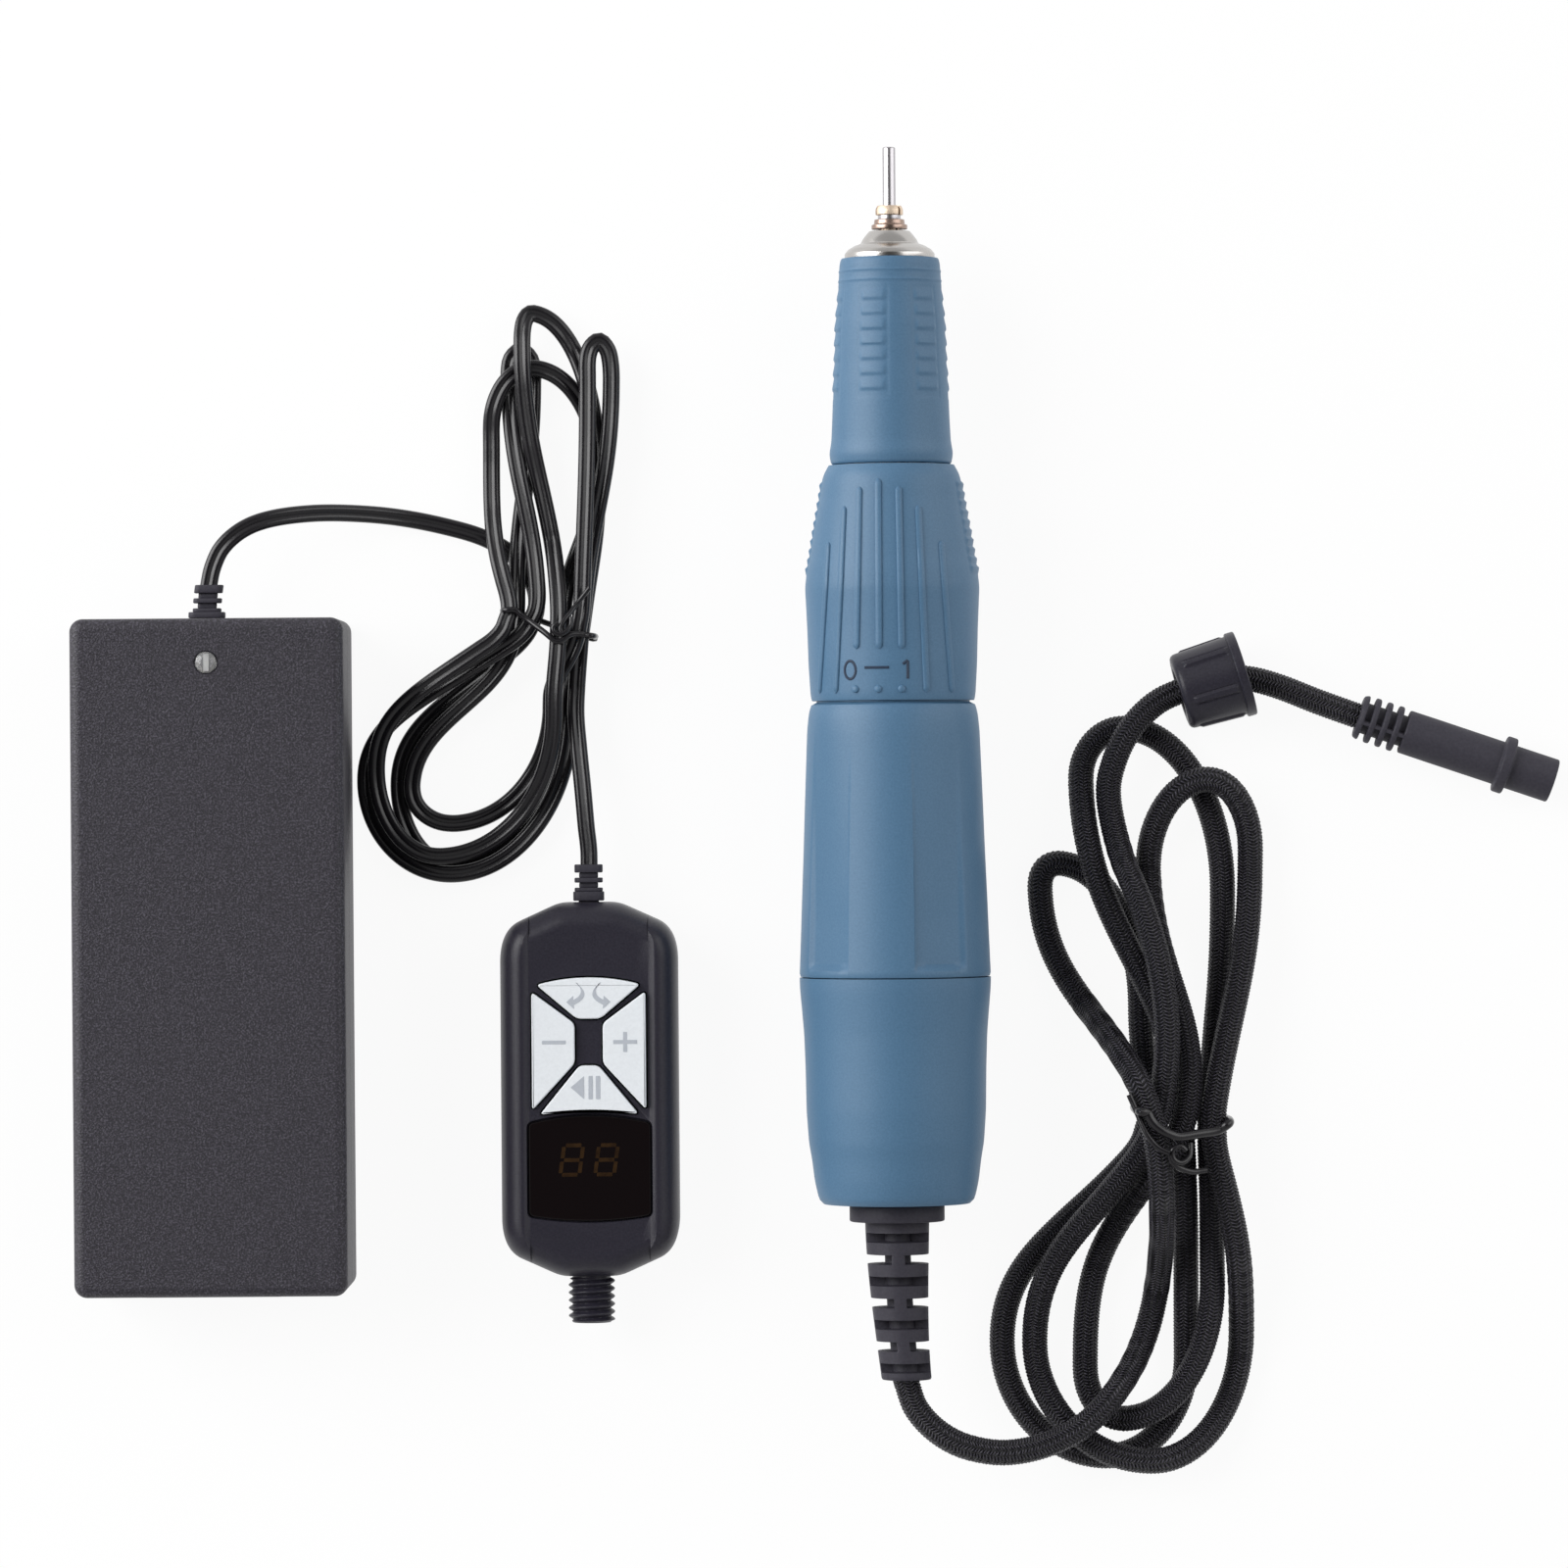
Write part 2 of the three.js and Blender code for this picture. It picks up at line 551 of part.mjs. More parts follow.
function splitCollet() {
  const rear = colletRear - collet.bodyLength;
  const bore = bit.radius + collet.boreSpare;
  const body = turned([
    [bore, rear], [collet.bodyRadius, rear], [collet.bodyRadius, colletRear], [collet.headRadius, colletRear],
    [collet.headRadius, colletRear + collet.headLength / 2], [collet.tipRadius, headFront], [bore, headFront],
  ], sideCount.plain);
  const slots = steps(0, collet.slots - 1, collet.slots - 1).map((k) => {
    const reach = collet.headRadius + overrun;
    const slot = block(collet.slotWidth, collet.slotLength + overrun, reach);
    slot.translate(0, headFront - collet.slotLength / 2 + overrun / 2, reach / 2);
    slot.rotateY((2 * Math.PI * (k + 0.5)) / collet.slots);
    return slot;
  });
  return cut(body, ...slots);
}

function bitShank() {
  const front = headFront + bit.projection;
  return turned([
    [0, headFront - bit.hold], [bit.radius, headFront - bit.hold], [bit.radius, front - bit.chamfer],
    [bit.radius - bit.chamfer, front], [0, front],
  ], sideCount.hidden);
}

function preloadSpring() {
  const rear = rearBearingFront + gap + spring.wire / 2;
  const front = frontBearingRear - gap - spring.wire / 2;
  const count = spring.turns * spring.steps;
  const section = circleOutline(spring.wire / 2, spring.sides);
  const loops = steps(0, count, count).map((k) => {
    const angle = (360 * k) / spring.steps;
    const along = rear + ((front - rear) * k) / count;
    return section.map((p) => onAxis(spring.radius + p.x, along + p.y, angle));
  });
  return loft(loops);
}

function ringCarrier() {
  const c = carrier;
  const flangeFront = ringRear - ring.seam - casing.wall - gap;
  const rear = flangeFront - c.flangeLength;
  const seatRear = bearing.rearSeat - gap;
  return turned([
    [c.rearBore, rear], [c.flangeRadius, rear], [c.flangeRadius, flangeFront], [c.radius, flangeFront],
    [c.radius, c.front], [c.bore, c.front], [c.bore, seatRear], [c.rearBore, seatRear],
  ], sideCount.plain);
}

function pushSleeve() {
  const inner = carrier.radius + gap;
  const tube = turned([
    [inner, sleeve.rear], [sleeve.radius, sleeve.rear], [sleeve.radius, sleeveFront], [inner, sleeveFront],
  ], sideCount.plain);
  const pins = [0, 1].map((k) => {
    const wall = sleeve.radius - inner;
    const pin = rod(sleeve.pinRadius, sleeve.pinRaise + wall / 2, 10);
    pin.rotateX(Math.PI / 2);
    pin.translate(0, sleeveFront - sleeve.length / 2, sleeve.radius + sleeve.pinRaise / 2 - wall / 4);
    pin.rotateY(k * Math.PI);
    return pin;
  });
  return join(tube, ...pins);
}

function driveCoupling() {
  const front = couplingRear + coupling.length - gap;
  const c = bearing.chamfer;
  const seat = spindle.rear + spindle.wallEnd - spindle.tailLength - gap;
  const blind = couplingRear + coupling.shaftDepth;
  const [motorBore, spindleBore] = [rotor.shaftRadius + gap, spindle.tailRadius + gap];
  return turned([
    [motorBore, couplingRear], [coupling.radius - c, couplingRear], [coupling.radius, couplingRear + c],
    [coupling.radius, front - c], [coupling.radius - c, front], [spindleBore, front],
    [spindleBore, seat], [0, seat], [0, blind], [motorBore, blind],
  ], sideCount.hidden);
}

const motorFront = motor.rear + motor.length;
const bossFront = motorFront + motor.bossLength;

function motorCan() {
  const inner = motor.radius - motor.wall;
  const seat = rotorBearing.radius + roundGap;
  const eye = rotor.shaftRadius + roundGap;
  return turned([
    [inner, motor.rear], [motor.radius, motor.rear], [motor.radius, motorFront],
    [motor.bossRadius, motorFront],
    [motor.bossRadius, bossFront], [eye, bossFront], [eye, bossFront - motor.wall],
    [seat, bossFront - motor.wall], [seat, motorFront - motor.wall], [inner, motorFront - motor.wall],
  ], sideCount.plain);
}

function endBell() {
  const inner = rotor.shaftRadius + roundGap;
  const rear = motor.rear - gap - motor.bellLength;
  const disc = turned([
    [inner, rear], [motor.bossRadius, rear], [motor.bossRadius, rear + motor.bellLength / 3],
    [motor.radius, rear + motor.bellLength / 3], [motor.radius, rear + motor.bellLength],
    [motor.bossRadius, rear + motor.bellLength], [inner, rear + motor.bellLength],
  ], sideCount.plain);
  const innerWall = motor.radius - motor.wall - 2 * roundGap;
  const start = rotor.commutatorRadius + gap;
  const brushes = [1, -1].map((side) => {
    const front = rotor.commutatorRear + motor.brushHeight;
    const foot = rear + motor.bellLength - motor.bellLength / 3;
    const arm = block(innerWall - start, front - foot, motor.brushWidth);
    arm.translate(side * (start + innerWall) / 2, (front + foot) / 2, 0);
    return arm;
  });
  return join(disc, ...brushes);
}

function motorRotor() {
  const r = rotor;
  const coreFront = r.coreRear + r.length;
  const commutatorFront = r.commutatorRear + r.commutatorLength;
  const front = couplingRear + coupling.shaftDepth - gap;
  return turned([
    [0, r.shaftRear], [r.shaftRadius, r.shaftRear], [r.shaftRadius, r.commutatorRear],
    [r.commutatorRadius, r.commutatorRear], [r.commutatorRadius, commutatorFront],
    [r.shaftRadius, commutatorFront], [r.shaftRadius, r.coreRear], [r.radius, r.coreRear],
    [r.radius, coreFront], [r.shaftRadius, coreFront], [r.shaftRadius, front], [0, front],
  ], sideCount.hidden);
}

function filterBoardBody() {
  const outer = fromShares(capShares, 0, cap.length, cap.radius);
  const radius = radiusOf(outer, cap.ledge) - cap.wall - 2 * gap;
  const rear = cap.ledge + gap;
  const face = rear + filterBoard.thickness;
  const top = face + filterBoard.padLength;
  return turned([
    [0, rear], [radius, rear], [radius, face], [filterBoard.padRadius, face],
    [filterBoard.padRadius, top], [0, top],
  ], sideCount.plain);
}

function handpieceBoot() {
  const flangeRear = -gap - boot.flangeLength;
  const lip = boot.flangeLength / 8;
  const inside = cap.wall + gap;
  const body = turned([
    [0, -boot.length], [boot.tipRadius - lip, -boot.length], [boot.tipRadius, -boot.length + lip],
    [boot.baseRadius, flangeRear], [boot.flangeRadius - lip, flangeRear],
    [boot.flangeRadius, flangeRear + lip],
    [boot.flangeRadius, -gap], [boot.neckRadius, -gap], [boot.neckRadius, inside], [boot.innerRadius, inside],
    [boot.innerRadius, inside + boot.innerLength], [0, inside + boot.innerLength],
  ], sideCount.plain);
  const wide = 2 * (boot.baseRadius + overrun);
  const cutters = steps(0, boot.slotCount - 1, boot.slotCount - 1).flatMap((k) => {
    const along = -boot.firstSlot - boot.slotPitch * k;
    return [1, -1].map((side) => {
      const height = boot.baseRadius + overrun - boot.coreHalf;
      const slot = block(wide, boot.slotWidth, height);
      slot.translate(0, along, side * (boot.coreHalf + height / 2));
      slot.rotateY(k % 2 === 0 ? 0 : Math.PI / 2);
      return slot;
    });
  });
  const slotted = cut(body, ...cutters);
  const position = slotted.attributes.position;
  for (let i = 0; i < position.count; i += 1) {
    const past = Math.max(0, flangeRear - position.getY(i)) / boot.length;
    position.setX(i, position.getX(i) + boot.drift * past * past);
  }
  return slotted;
}

addMesh("bit_shank", bitShank(), "steel", handpiece);
addMesh("collet", splitCollet(), "brass", handpiece);
addMesh("chuck_ring", chuckRingBody(), "steel", handpiece);
addMesh("spindle", spindleShaft(), "steel", handpiece);
addMesh("nose_cone", noseCone(), "chrome", handpiece);
const bearings = {
  front_bearing: [bearing.frontRadius, spindle.radius, frontBearingRear, bearing.frontLength],
  rear_bearing: [bearing.rearRadius, spindle.radius, bearing.rearSeat, bearing.rearLength],
  motor_bearing: [
    rotorBearing.radius, rotor.shaftRadius,
    bossFront - motor.wall - gap - rotorBearing.length, rotorBearing.length,
  ],
};
Object.entries(bearings).forEach(([name, sizes]) => addMesh(name, bearingRing(...sizes), "steel", handpiece));
addMesh("front_grip", frontGrip(), "blue", handpiece);
addMesh("preload_spring", preloadSpring(), "steel", handpiece);
addMesh("push_sleeve", pushSleeve(), "white", handpiece);
addMesh("twist_ring", twistRing(), "blue", handpiece);
addMesh("ring_carrier", ringCarrier(), "white", handpiece);
addMesh("drive_coupling", driveCoupling(), "brass", handpiece);
addMesh("rotor", motorRotor(), "copper", handpiece);
addMesh("motor_can", motorCan(), "steel", handpiece);
addMesh("motor_end_bell", endBell(), "black", handpiece);
addMesh("motor_housing", motorHousing(), "blue", handpiece);
addMesh("rear_cap", rearCap(), "blueDark", handpiece);
addMesh("filter_board", filterBoardBody(), "board", handpiece);
addMesh("handpiece_boot", handpieceBoot(), "rubber", handpiece);

// Ribbed bushing: a lofted stack of rounded sections along +Y, from inside the wall out

function ribbedBushing(wall, base) {
  const b = bushing;
  const rows = [];
  let along = -wall - gap - b.innerLength;
  const add = (length, halfWidth, halfHeight) => {
    rows.push([along, halfWidth, halfHeight], [along + length, halfWidth, halfHeight]);
    along += length;
  };
  add(b.innerLength, b.innerHalf, base.baseHeight);
  add(wall + 2 * gap, b.neckHalf, b.neckHeight);
  add(base.baseLength, base.baseHalf, base.baseHeight);
  add(b.lowRing, b.ringHalf, b.ringHeight);
  add(b.slot, b.coreHalf, b.coreHeight);
  add(b.midRing, b.ringHalf, b.ringHeight);
  add(b.slot, b.coreHalf, b.coreHeight);
  add(b.topRing, b.ringHalf, b.ringHeight);
  const reach = along;
  return loft(rows.map(([place, halfWidth, halfHeight]) => {
    const past = Math.max(0, place) / reach;
    return roundedRectangle(halfWidth, halfHeight, b.round, 1)
      .map((p) => new THREE.Vector3(p.x + base.drift * past * past, place, p.y));
  }));
}

function bushingHole(wall) {
  const outline = roundedRectangle(bushing.neckHalf + gap, bushing.neckHeight + gap, bushing.round, 2);
  const hole = slab(outline, [[-wall - overrun, 0], [wall + overrun, 0]]);
  hole.rotateX(Math.PI / 2);
  return hole;
}

// Hand controller

const controller = new THREE.Group();
controller.position.set(controllerX, controllerY, 0);
drill.add(controller);

function padOutline() {
  const [w, l] = [pad.width / 2, pad.length / 2];
  const slope = pad.shoulderDepth / (pad.shoulderHalf - pad.endHalf);
  const bend = l - pad.shoulderDepth - slope * (w - pad.shoulderHalf);
  const quarter = [];
  const curve = new THREE.QuadraticBezierCurve(new THREE.Vector2(w, l - pad.sideStart),
    new THREE.Vector2(w, bend), new THREE.Vector2(pad.shoulderHalf, l - pad.shoulderDepth));
  quarter.push(...curve.getPoints(4), new THREE.Vector2(pad.endHalf, l));
  const left = quarter.map((p) => new THREE.Vector2(-p.x, p.y)).reverse();
  const lower = [...quarter, ...left].map((p) => new THREE.Vector2(-p.x, -p.y));
  return [...quarter, ...left, ...lower];
}

const padShape = padOutline();
const padMiddle = pad.height / 2;

// Levels of a shell half: straight wall, then an elliptical edge up to the flat face
function edgeLevels(from, face, inset, drop, count = 4) {
  const side = Math.sign(face - from);
  const levels = [[from, 0]];
  for (let k = 0; k <= count; k += 1) {
    const angle = (Math.PI / 2) * (k / count);
    levels.push([face - side * drop * (1 - Math.sin(angle)), inset * (1 - Math.cos(angle))]);
  }
  return levels;
}

function hollowLevels(levels, wall, from, face) {
  const side = Math.sign(face - from);
  const inner = levels.slice(0, -1).map(([z, inset]) => [z, inset + wall]);
  const last = levels[levels.length - 1];
  inner[0] = [from - side * overrun, wall];
  const roof = face - side * wall;
  const kept = inner.filter(([z]) => side * (roof - z) > wall / 4);
  return [...kept, [roof, last[1] + wall]];
}

const bandTop = pad.height - pad.bandDepth;
const boardLength = pad.length - 2 * board.endRoom;

function keyOutlines() {
  const k = keys;
  const v = (x, y) => new THREE.Vector2(x, y);
  const topLeft = v(-k.topHalf, k.topReach);
  const topRight = v(k.topHalf, k.topReach);
  const lowLeft = v(-k.lowHalf, -k.lowReach);
  const lowRight = v(k.lowHalf, -k.lowReach);
  const direction = [
    topRight, ...bowed(topRight, topLeft, k.topArc, 4), topLeft,
    v(-k.topFootHalf, k.topFoot), v(k.topFootHalf, k.topFoot),
  ];
  const minus = [
    v(-k.outerHalf, k.outerReach), v(-k.outerHalf, -k.outerDrop),
    v(-k.innerHalf, -k.innerDrop), v(-k.innerHalf, k.innerReach),
  ];
  const plus = minus.map((p) => v(-p.x, p.y)).reverse();
  const run = [lowLeft, lowRight, v(k.lowFootHalf, -k.lowFoot), v(-k.lowFootHalf, -k.lowFoot)];
  return { direction_key: direction, minus_key: minus, plus_key: plus, run_key: run };
}

const keyShapes = Object.fromEntries(Object.entries(keyOutlines()).map(([name, corners]) => {
  const middle = corners.reduce((sum, p) => sum.add(p), new THREE.Vector2()).divideScalar(corners.length);
  return [name, { outline: roundedPolygon(corners, keys.corner), middle }];
}));

function glassOutline() {
  const [w, h] = [glass.width / 2, glass.height / 2 - glass.arc];
  const corners = [[w, -h], [w, h], [-w, h], [-w, -h]].map(([x, y]) => new THREE.Vector2(x, y));
  return roundedPolygon([
    corners[0], corners[1], ...bowed(corners[1], corners[2], glass.arc, 4), corners[2], corners[3],
    ...bowed(corners[3], corners[0], glass.arc, 4),
  ], glass.corner);
}

function controllerCover() {
  const from = padMiddle + gap / 2;
  const levels = edgeLevels(from, pad.height, pad.topInset, pad.topDrop);
  const shell = slab(padShape, levels);
  const hollow = slab(padShape, hollowLevels(levels, pad.wall, from, pad.height - pad.bandDepth));
  const bandShape = roundedRectangle(pad.bandHalf, pad.length / 2 - pad.bandEnd, pad.bandCorner);
  const band = slab(bandShape, [[bandTop, 0], [pad.height + overrun, 0]]);
  const holes = Object.values(keyShapes).map(({ outline }) => {
    const hole = slab(outline, [[bandTop - pad.wall - overrun, -gap], [pad.height + overrun, -gap]]);
    hole.translate(0, keys.y, 0);
    return hole;
  });
  const seatFloor = bandTop + glass.proud - glass.thickness - gap;
  const seat = slab(glassOutline(), [[seatFloor, -gap], [pad.height + overrun, -gap]]);
  seat.translate(0, glass.y, 0);
  const sight = [glass.width / 2 - glass.ledge, glass.height / 2 - glass.arc - glass.ledge];
  const viewLevels = [[bandTop - pad.wall - overrun, 0], [pad.height, 0]];
  const view = slab(roundedRectangle(...sight, glass.corner), viewLevels);
  view.translate(0, glass.y, 0);
  return cut(shell, hollow, band, ...holes, seat, view, ...padPorts());
}

// Openings in both end walls: the outlet spigot's round one and the bushing's
function padPorts() {
  const round = rod(spigot.radius + roundGap, pad.wall + 2 * overrun, sideCount.plain);
  round.translate(0, -pad.length / 2 + pad.wall / 2, padMiddle);
  const slot = bushingHole(pad.wall);
  slot.translate(0, pad.length / 2 - pad.wall / 2, padMiddle);
  return [round, slot];
}

function controllerBase() {
  const from = padMiddle - gap / 2;
  const levels = edgeLevels(from, 0, pad.baseInset, pad.baseDrop);
  const shell = slab(padShape, levels);
  const hollow = slab(padShape, hollowLevels(levels, pad.wall, from, 0));
  const posts = [[1, 1], [-1, 1], [-1, -1], [1, -1]].map(([sx, sy]) => {
    const top = board.z - gap;
    const post = rod(board.postRadius, top - pad.wall / 2, 12);
    post.rotateX(Math.PI / 2);
    const [x, y] = [board.width / 2 - board.postInset, boardLength / 2 - board.postInset];
    post.translate(sx * x, sy * y, (top + pad.wall / 2) / 2);
    return post;
  });
  const body = cut(shell, hollow, ...padPorts());
  return join(body, ...posts);
}

function keyBody({ outline, middle }) {
  const top = bandTop + keys.rise;
  const bottom = top - keys.depth;
  const head = slab(outline, [[bottom, 0], [top - keys.crown, 0], [top, keys.crown]]);
  const stemBottom = board.z + board.thickness + button.height + button.capHeight + keys.stemGap;
  const stem = rod(keys.stemRadius, bottom - stemBottom + keys.crown, 12);
  stem.rotateX(Math.PI / 2);
  stem.translate(middle.x, middle.y, (bottom + keys.crown + stemBottom) / 2);
  const body = join(head, stem);
  body.translate(0, keys.y, 0);
  return body;
}

function tactSwitch({ middle }) {
  const base = board.z + board.thickness + gap;
  const body = slab(roundedRectangle(button.size / 2, button.size / 2, button.size / 10, 1),
    [[base, 0], [base + button.height - gap, 0]]);
  const plunger = rod(button.capRadius, button.height + button.capHeight - gap, 12);
  plunger.rotateX(Math.PI / 2);
  plunger.translate(0, 0, base + (button.height + button.capHeight - gap) / 2);
  const whole = join(body, plunger);
  whole.translate(middle.x, middle.y + keys.y, 0);
  return whole;
}

function displayWindow() {
  const top = bandTop + glass.proud;
  const pane = slab(glassOutline(), [[top - glass.thickness, 0], [top, 0]]);
  pane.translate(0, glass.y, 0);
  return pane;
}

function displayModule() {
  const base = board.z + board.thickness + gap;
  const outline = roundedRectangle(display.width / 2, display.height / 2, display.bezel, 1);
  const top = base + display.depth;
  const unit = slab(outline, [[base, 0], [top - display.bezel, 0], [top, display.bezel]]);
  unit.translate(0, glass.y, 0);
  return unit;
}

function controllerBoard() {
  const outline = roundedRectangle(board.width / 2, boardLength / 2, board.postRadius, 2);
  return slab(outline, [[board.z, 0], [board.z + board.thickness, 0]]);
}

function outletSpigot() {
  const face = -pad.length / 2;
  const inner = face + pad.wall + 2 * gap;
  const body = turned([
    [spigot.bore, face - spigot.length], [spigot.radius - spigot.chamfer, face - spigot.length],
    [spigot.radius, face - spigot.length + spigot.chamfer], [spigot.radius, inner],
    [spigot.flangeRadius, inner],
    [spigot.flangeRadius, inner + spigot.flangeLength], [spigot.bore, inner + spigot.flangeLength],
  ], sideCount.plain);
  body.translate(0, 0, padMiddle);
  return body;
}

function outletSocket() {
  const start = -pad.length / 2 - spigot.length + socket.recess;
  const shape = new THREE.Shape(circleOutline(spigot.bore - roundGap, sideCount.hidden));
  for (let k = 0; k < socket.holes; k += 1) {
    const angle = (2 * Math.PI * k) / socket.holes + Math.PI / 2;
    const middle = new THREE.Vector2(Math.cos(angle), Math.sin(angle)).multiplyScalar(socket.holeCircle);
    const hole = circleOutline(socket.holeRadius, 8).map((p) => p.add(middle));
    shape.holes.push(new THREE.Path(hole.reverse()));
  }
  const insert = new THREE.ExtrudeGeometry(shape, { depth: socket.length, bevelEnabled: false });
  insert.rotateX(-Math.PI / 2);
  insert.translate(0, start, padMiddle);
  return weld(insert);
}

addMesh("controller_base", controllerBase(), "shell", controller);
addMesh("controller_cover", controllerCover(), "shell", controller);
Object.entries(keyShapes).forEach(([name, shape]) => {
  addMesh(name, keyBody(shape), "key", controller);
  addMesh(`${name}_switch`, tactSwitch(shape), "black", controller);
});
addMesh("display_window", displayWindow(), "glass", controller);
addMesh("display_module", displayModule(), "black", controller);
addMesh("controller_board", controllerBoard(), "board", controller);
addMesh("outlet_spigot", outletSpigot(), "shell", controller);
addMesh("outlet_socket", outletSocket(), "black", controller);
addMesh("controller_boot", ribbedBushing(pad.wall, padBush), "rubber", controller)
  .position.set(0, pad.length / 2, padMiddle);

// Mains power box

const adaptor = new THREE.Group();
adaptor.position.set(box.width / 2 - setWidth / 2, adaptorY, 0);
drill.add(adaptor);

const boxShape = roundedRectangle(box.width / 2, box.length / 2, box.corner, 3);
const boxRoom = roundedRectangle(box.width / 2 - box.wall, box.length / 2 - box.wall, box.corner, 3);
const boxMiddle = box.height / 2;
const boxBoardWidth = box.width - 2 * boxBoard.sideRoom;
const boxBoardLength = box.length - boxBoard.inletRoom - boxBoard.endRoom;
const boxBoardMiddle = (boxBoard.inletRoom - boxBoard.endRoom) / 2;

function boxPorts() {
  const reach = box.wall + 2 * overrun;
  const port = block(inlet.width + 2 * gap, reach, inlet.height + 2 * gap);
  port.translate(0, -box.length / 2 + box.wall / 2, boxMiddle);
  const slot = bushingHole(box.wall);
  slot.translate(boxBush.shift, box.length / 2 - box.wall / 2, boxMiddle);
  return [port, slot];
}

function boxCover() {
  const from = boxMiddle + gap / 2;
  const shell = slab(boxShape, edgeLevels(from, box.height, box.edge, box.edge, 3));
  const hollow = slab(boxRoom, [[from - overrun, 0], [box.height - box.wall, 0]]);
  const eye = rod(lamp.radius + gap, box.wall + 2 * overrun, sideCount.hidden);
  eye.rotateX(Math.PI / 2);
  eye.translate(0, box.length / 2 - lamp.inset, box.height - box.wall / 2);
  return cut(shell, hollow, eye, ...boxPorts());
}

function boxBase() {
  const from = boxMiddle - gap / 2;
  const shell = slab(boxShape, edgeLevels(from, 0, box.edge / 2, box.edge / 2, 2));
  const hollow = slab(boxRoom, [[from + overrun, 0], [box.wall, 0]]);
  const posts = [[1, 1], [-1, 1], [-1, -1], [1, -1]].map(([sx, sy]) => {
    const top = boxBoard.z - gap;
    const post = rod(boxBoard.postRadius, top - box.wall / 2, 12);
    post.rotateX(Math.PI / 2);
    const x = boxBoardWidth / 2 - boxBoard.postSideInset;
    const y = boxBoardLength / 2 - boxBoard.postInset;
    post.translate(sx * x, boxBoardMiddle + sy * y, (top + box.wall / 2) / 2);
    return post;
  });
  return join(cut(shell, hollow, ...boxPorts()), ...posts);
}

function lampLens() {
  const under = box.height - box.wall - gap;
  const dome = steps(0, 3, 3).map((k) => {
    const angle = (Math.PI / 2) * (k / 3);
    return [lamp.radius * Math.cos(angle), box.height + lamp.dome * Math.sin(angle)];
  });
  const [bottom, flange] = [under - lamp.tailLength, under - lamp.flangeLength];
  const lens = turned([
    [0, bottom], [lamp.radius, bottom], [lamp.radius, flange], [lamp.flangeRadius, flange],
    [lamp.flangeRadius, under], [lamp.radius, under], ...dome,
  ], sideCount.hidden);
  lens.rotateX(Math.PI / 2);
  lens.translate(0, box.length / 2 - lamp.inset, 0);
  return lens;
}

// The inlet stands upright in the end wall: a cup with two chamfered corners
function mainsInlet() {
  const section = (halfX, halfZ, chamfer) => {
    const v = (x, z) => new THREE.Vector2(x, z);
    return roundedPolygon([
      v(halfX, -halfZ), v(halfX, halfZ - chamfer), v(halfX - chamfer, halfZ),
      v(chamfer - halfX, halfZ), v(-halfX, halfZ - chamfer), v(-halfX, -halfZ),
    ], inlet.corner, 1);
  };
  const [halfX, halfZ] = [inlet.width / 2, inlet.height / 2];
  const outer = slab(roundedRectangle(halfX, halfZ, inlet.corner, 2), [[0, 0], [inlet.depth, 0]]);
  const cupShape = section(halfX - inlet.wall, halfZ - inlet.wall, inlet.chamfer);
  const cup = slab(cupShape, [[-overrun, 0], [inlet.depth - inlet.floor, 0]]);
  const slits = inletPins().map(([x, z]) => {
    const slit = block(inlet.pinWidth + 2 * gap, inlet.pinHeight + 2 * gap, inlet.floor + 2 * overrun);
    slit.translate(x, z, inlet.depth - inlet.floor / 2);
    return slit;
  });
  const body = cut(outer, cup, ...slits);
  body.rotateX(-Math.PI / 2);
  body.scale(1, 1, -1);
  body.translate(0, -box.length / 2 - inlet.proud, boxMiddle);
  return weld(body);
}

function inletPins() {
  return [[-inlet.pinPitch, -inlet.pinOffset], [0, inlet.pinOffset], [inlet.pinPitch, -inlet.pinOffset]];
}

function inletPin([x, z]) {
  const rear = -box.length / 2 - inlet.proud + inlet.depth;
  const front = rear - inlet.floor - inlet.pinLength;
  const outline = roundedRectangle(inlet.pinWidth / 2, inlet.pinHeight / 2, inlet.pinWidth / 5, 1);
  const taper = inlet.pinWidth / 5;
  const pin = slab(outline, [[-rear - inlet.tail, 0], [-front - taper, 0], [-front, taper]]);
  pin.rotateX(Math.PI / 2);
  pin.translate(x, 0, boxMiddle + z);
  return pin;
}

function boxBoardBody() {
  const outline = roundedRectangle(boxBoardWidth / 2, boxBoardLength / 2, boxBoard.postRadius, 2);
  const plate = slab(outline, [[boxBoard.z, 0], [boxBoard.z + boxBoard.thickness, 0]]);
  plate.translate(0, boxBoardMiddle, 0);
  return plate;
}

const onBoxBoard = boxBoard.z + boxBoard.thickness + gap;

function transformerBody() {
  const t = transformer;
  const core = block(t.width, t.length, t.coreWall);
  core.translate(0, 0, t.coreWall / 2);
  const roof = core.clone();
  roof.translate(0, 0, t.height - t.coreWall);
  const winding = rod(t.windingRadius, t.height, sideCount.hidden);
  winding.rotateX(Math.PI / 2);
  winding.translate(0, 0, t.height / 2);
  const side = block(t.coreWall / 2, t.length / 2, t.height);
  side.translate(t.width / 2 - t.coreWall / 4, 0, t.height / 2);
  const other = side.clone();
  other.translate(t.coreWall / 2 - t.width, 0, 0);
  const body = join(core, roof, winding, side, other);
  body.translate(0, boxBoardMiddle + t.shiftShare * boxBoardLength, onBoxBoard);
  return body;
}

function capacitorBody() {
  const c = capacitor;
  const can = turned([
    [0, 0], [c.radius - c.chamfer, 0], [c.radius, c.chamfer], [c.radius, c.length - c.chamfer],
    [c.radius - c.chamfer, c.length], [0, c.length],
  ], sideCount.hidden);
  can.translate(0, boxBoardMiddle + c.shiftShare * boxBoardLength - c.length / 2, onBoxBoard + c.radius);
  return can;
}

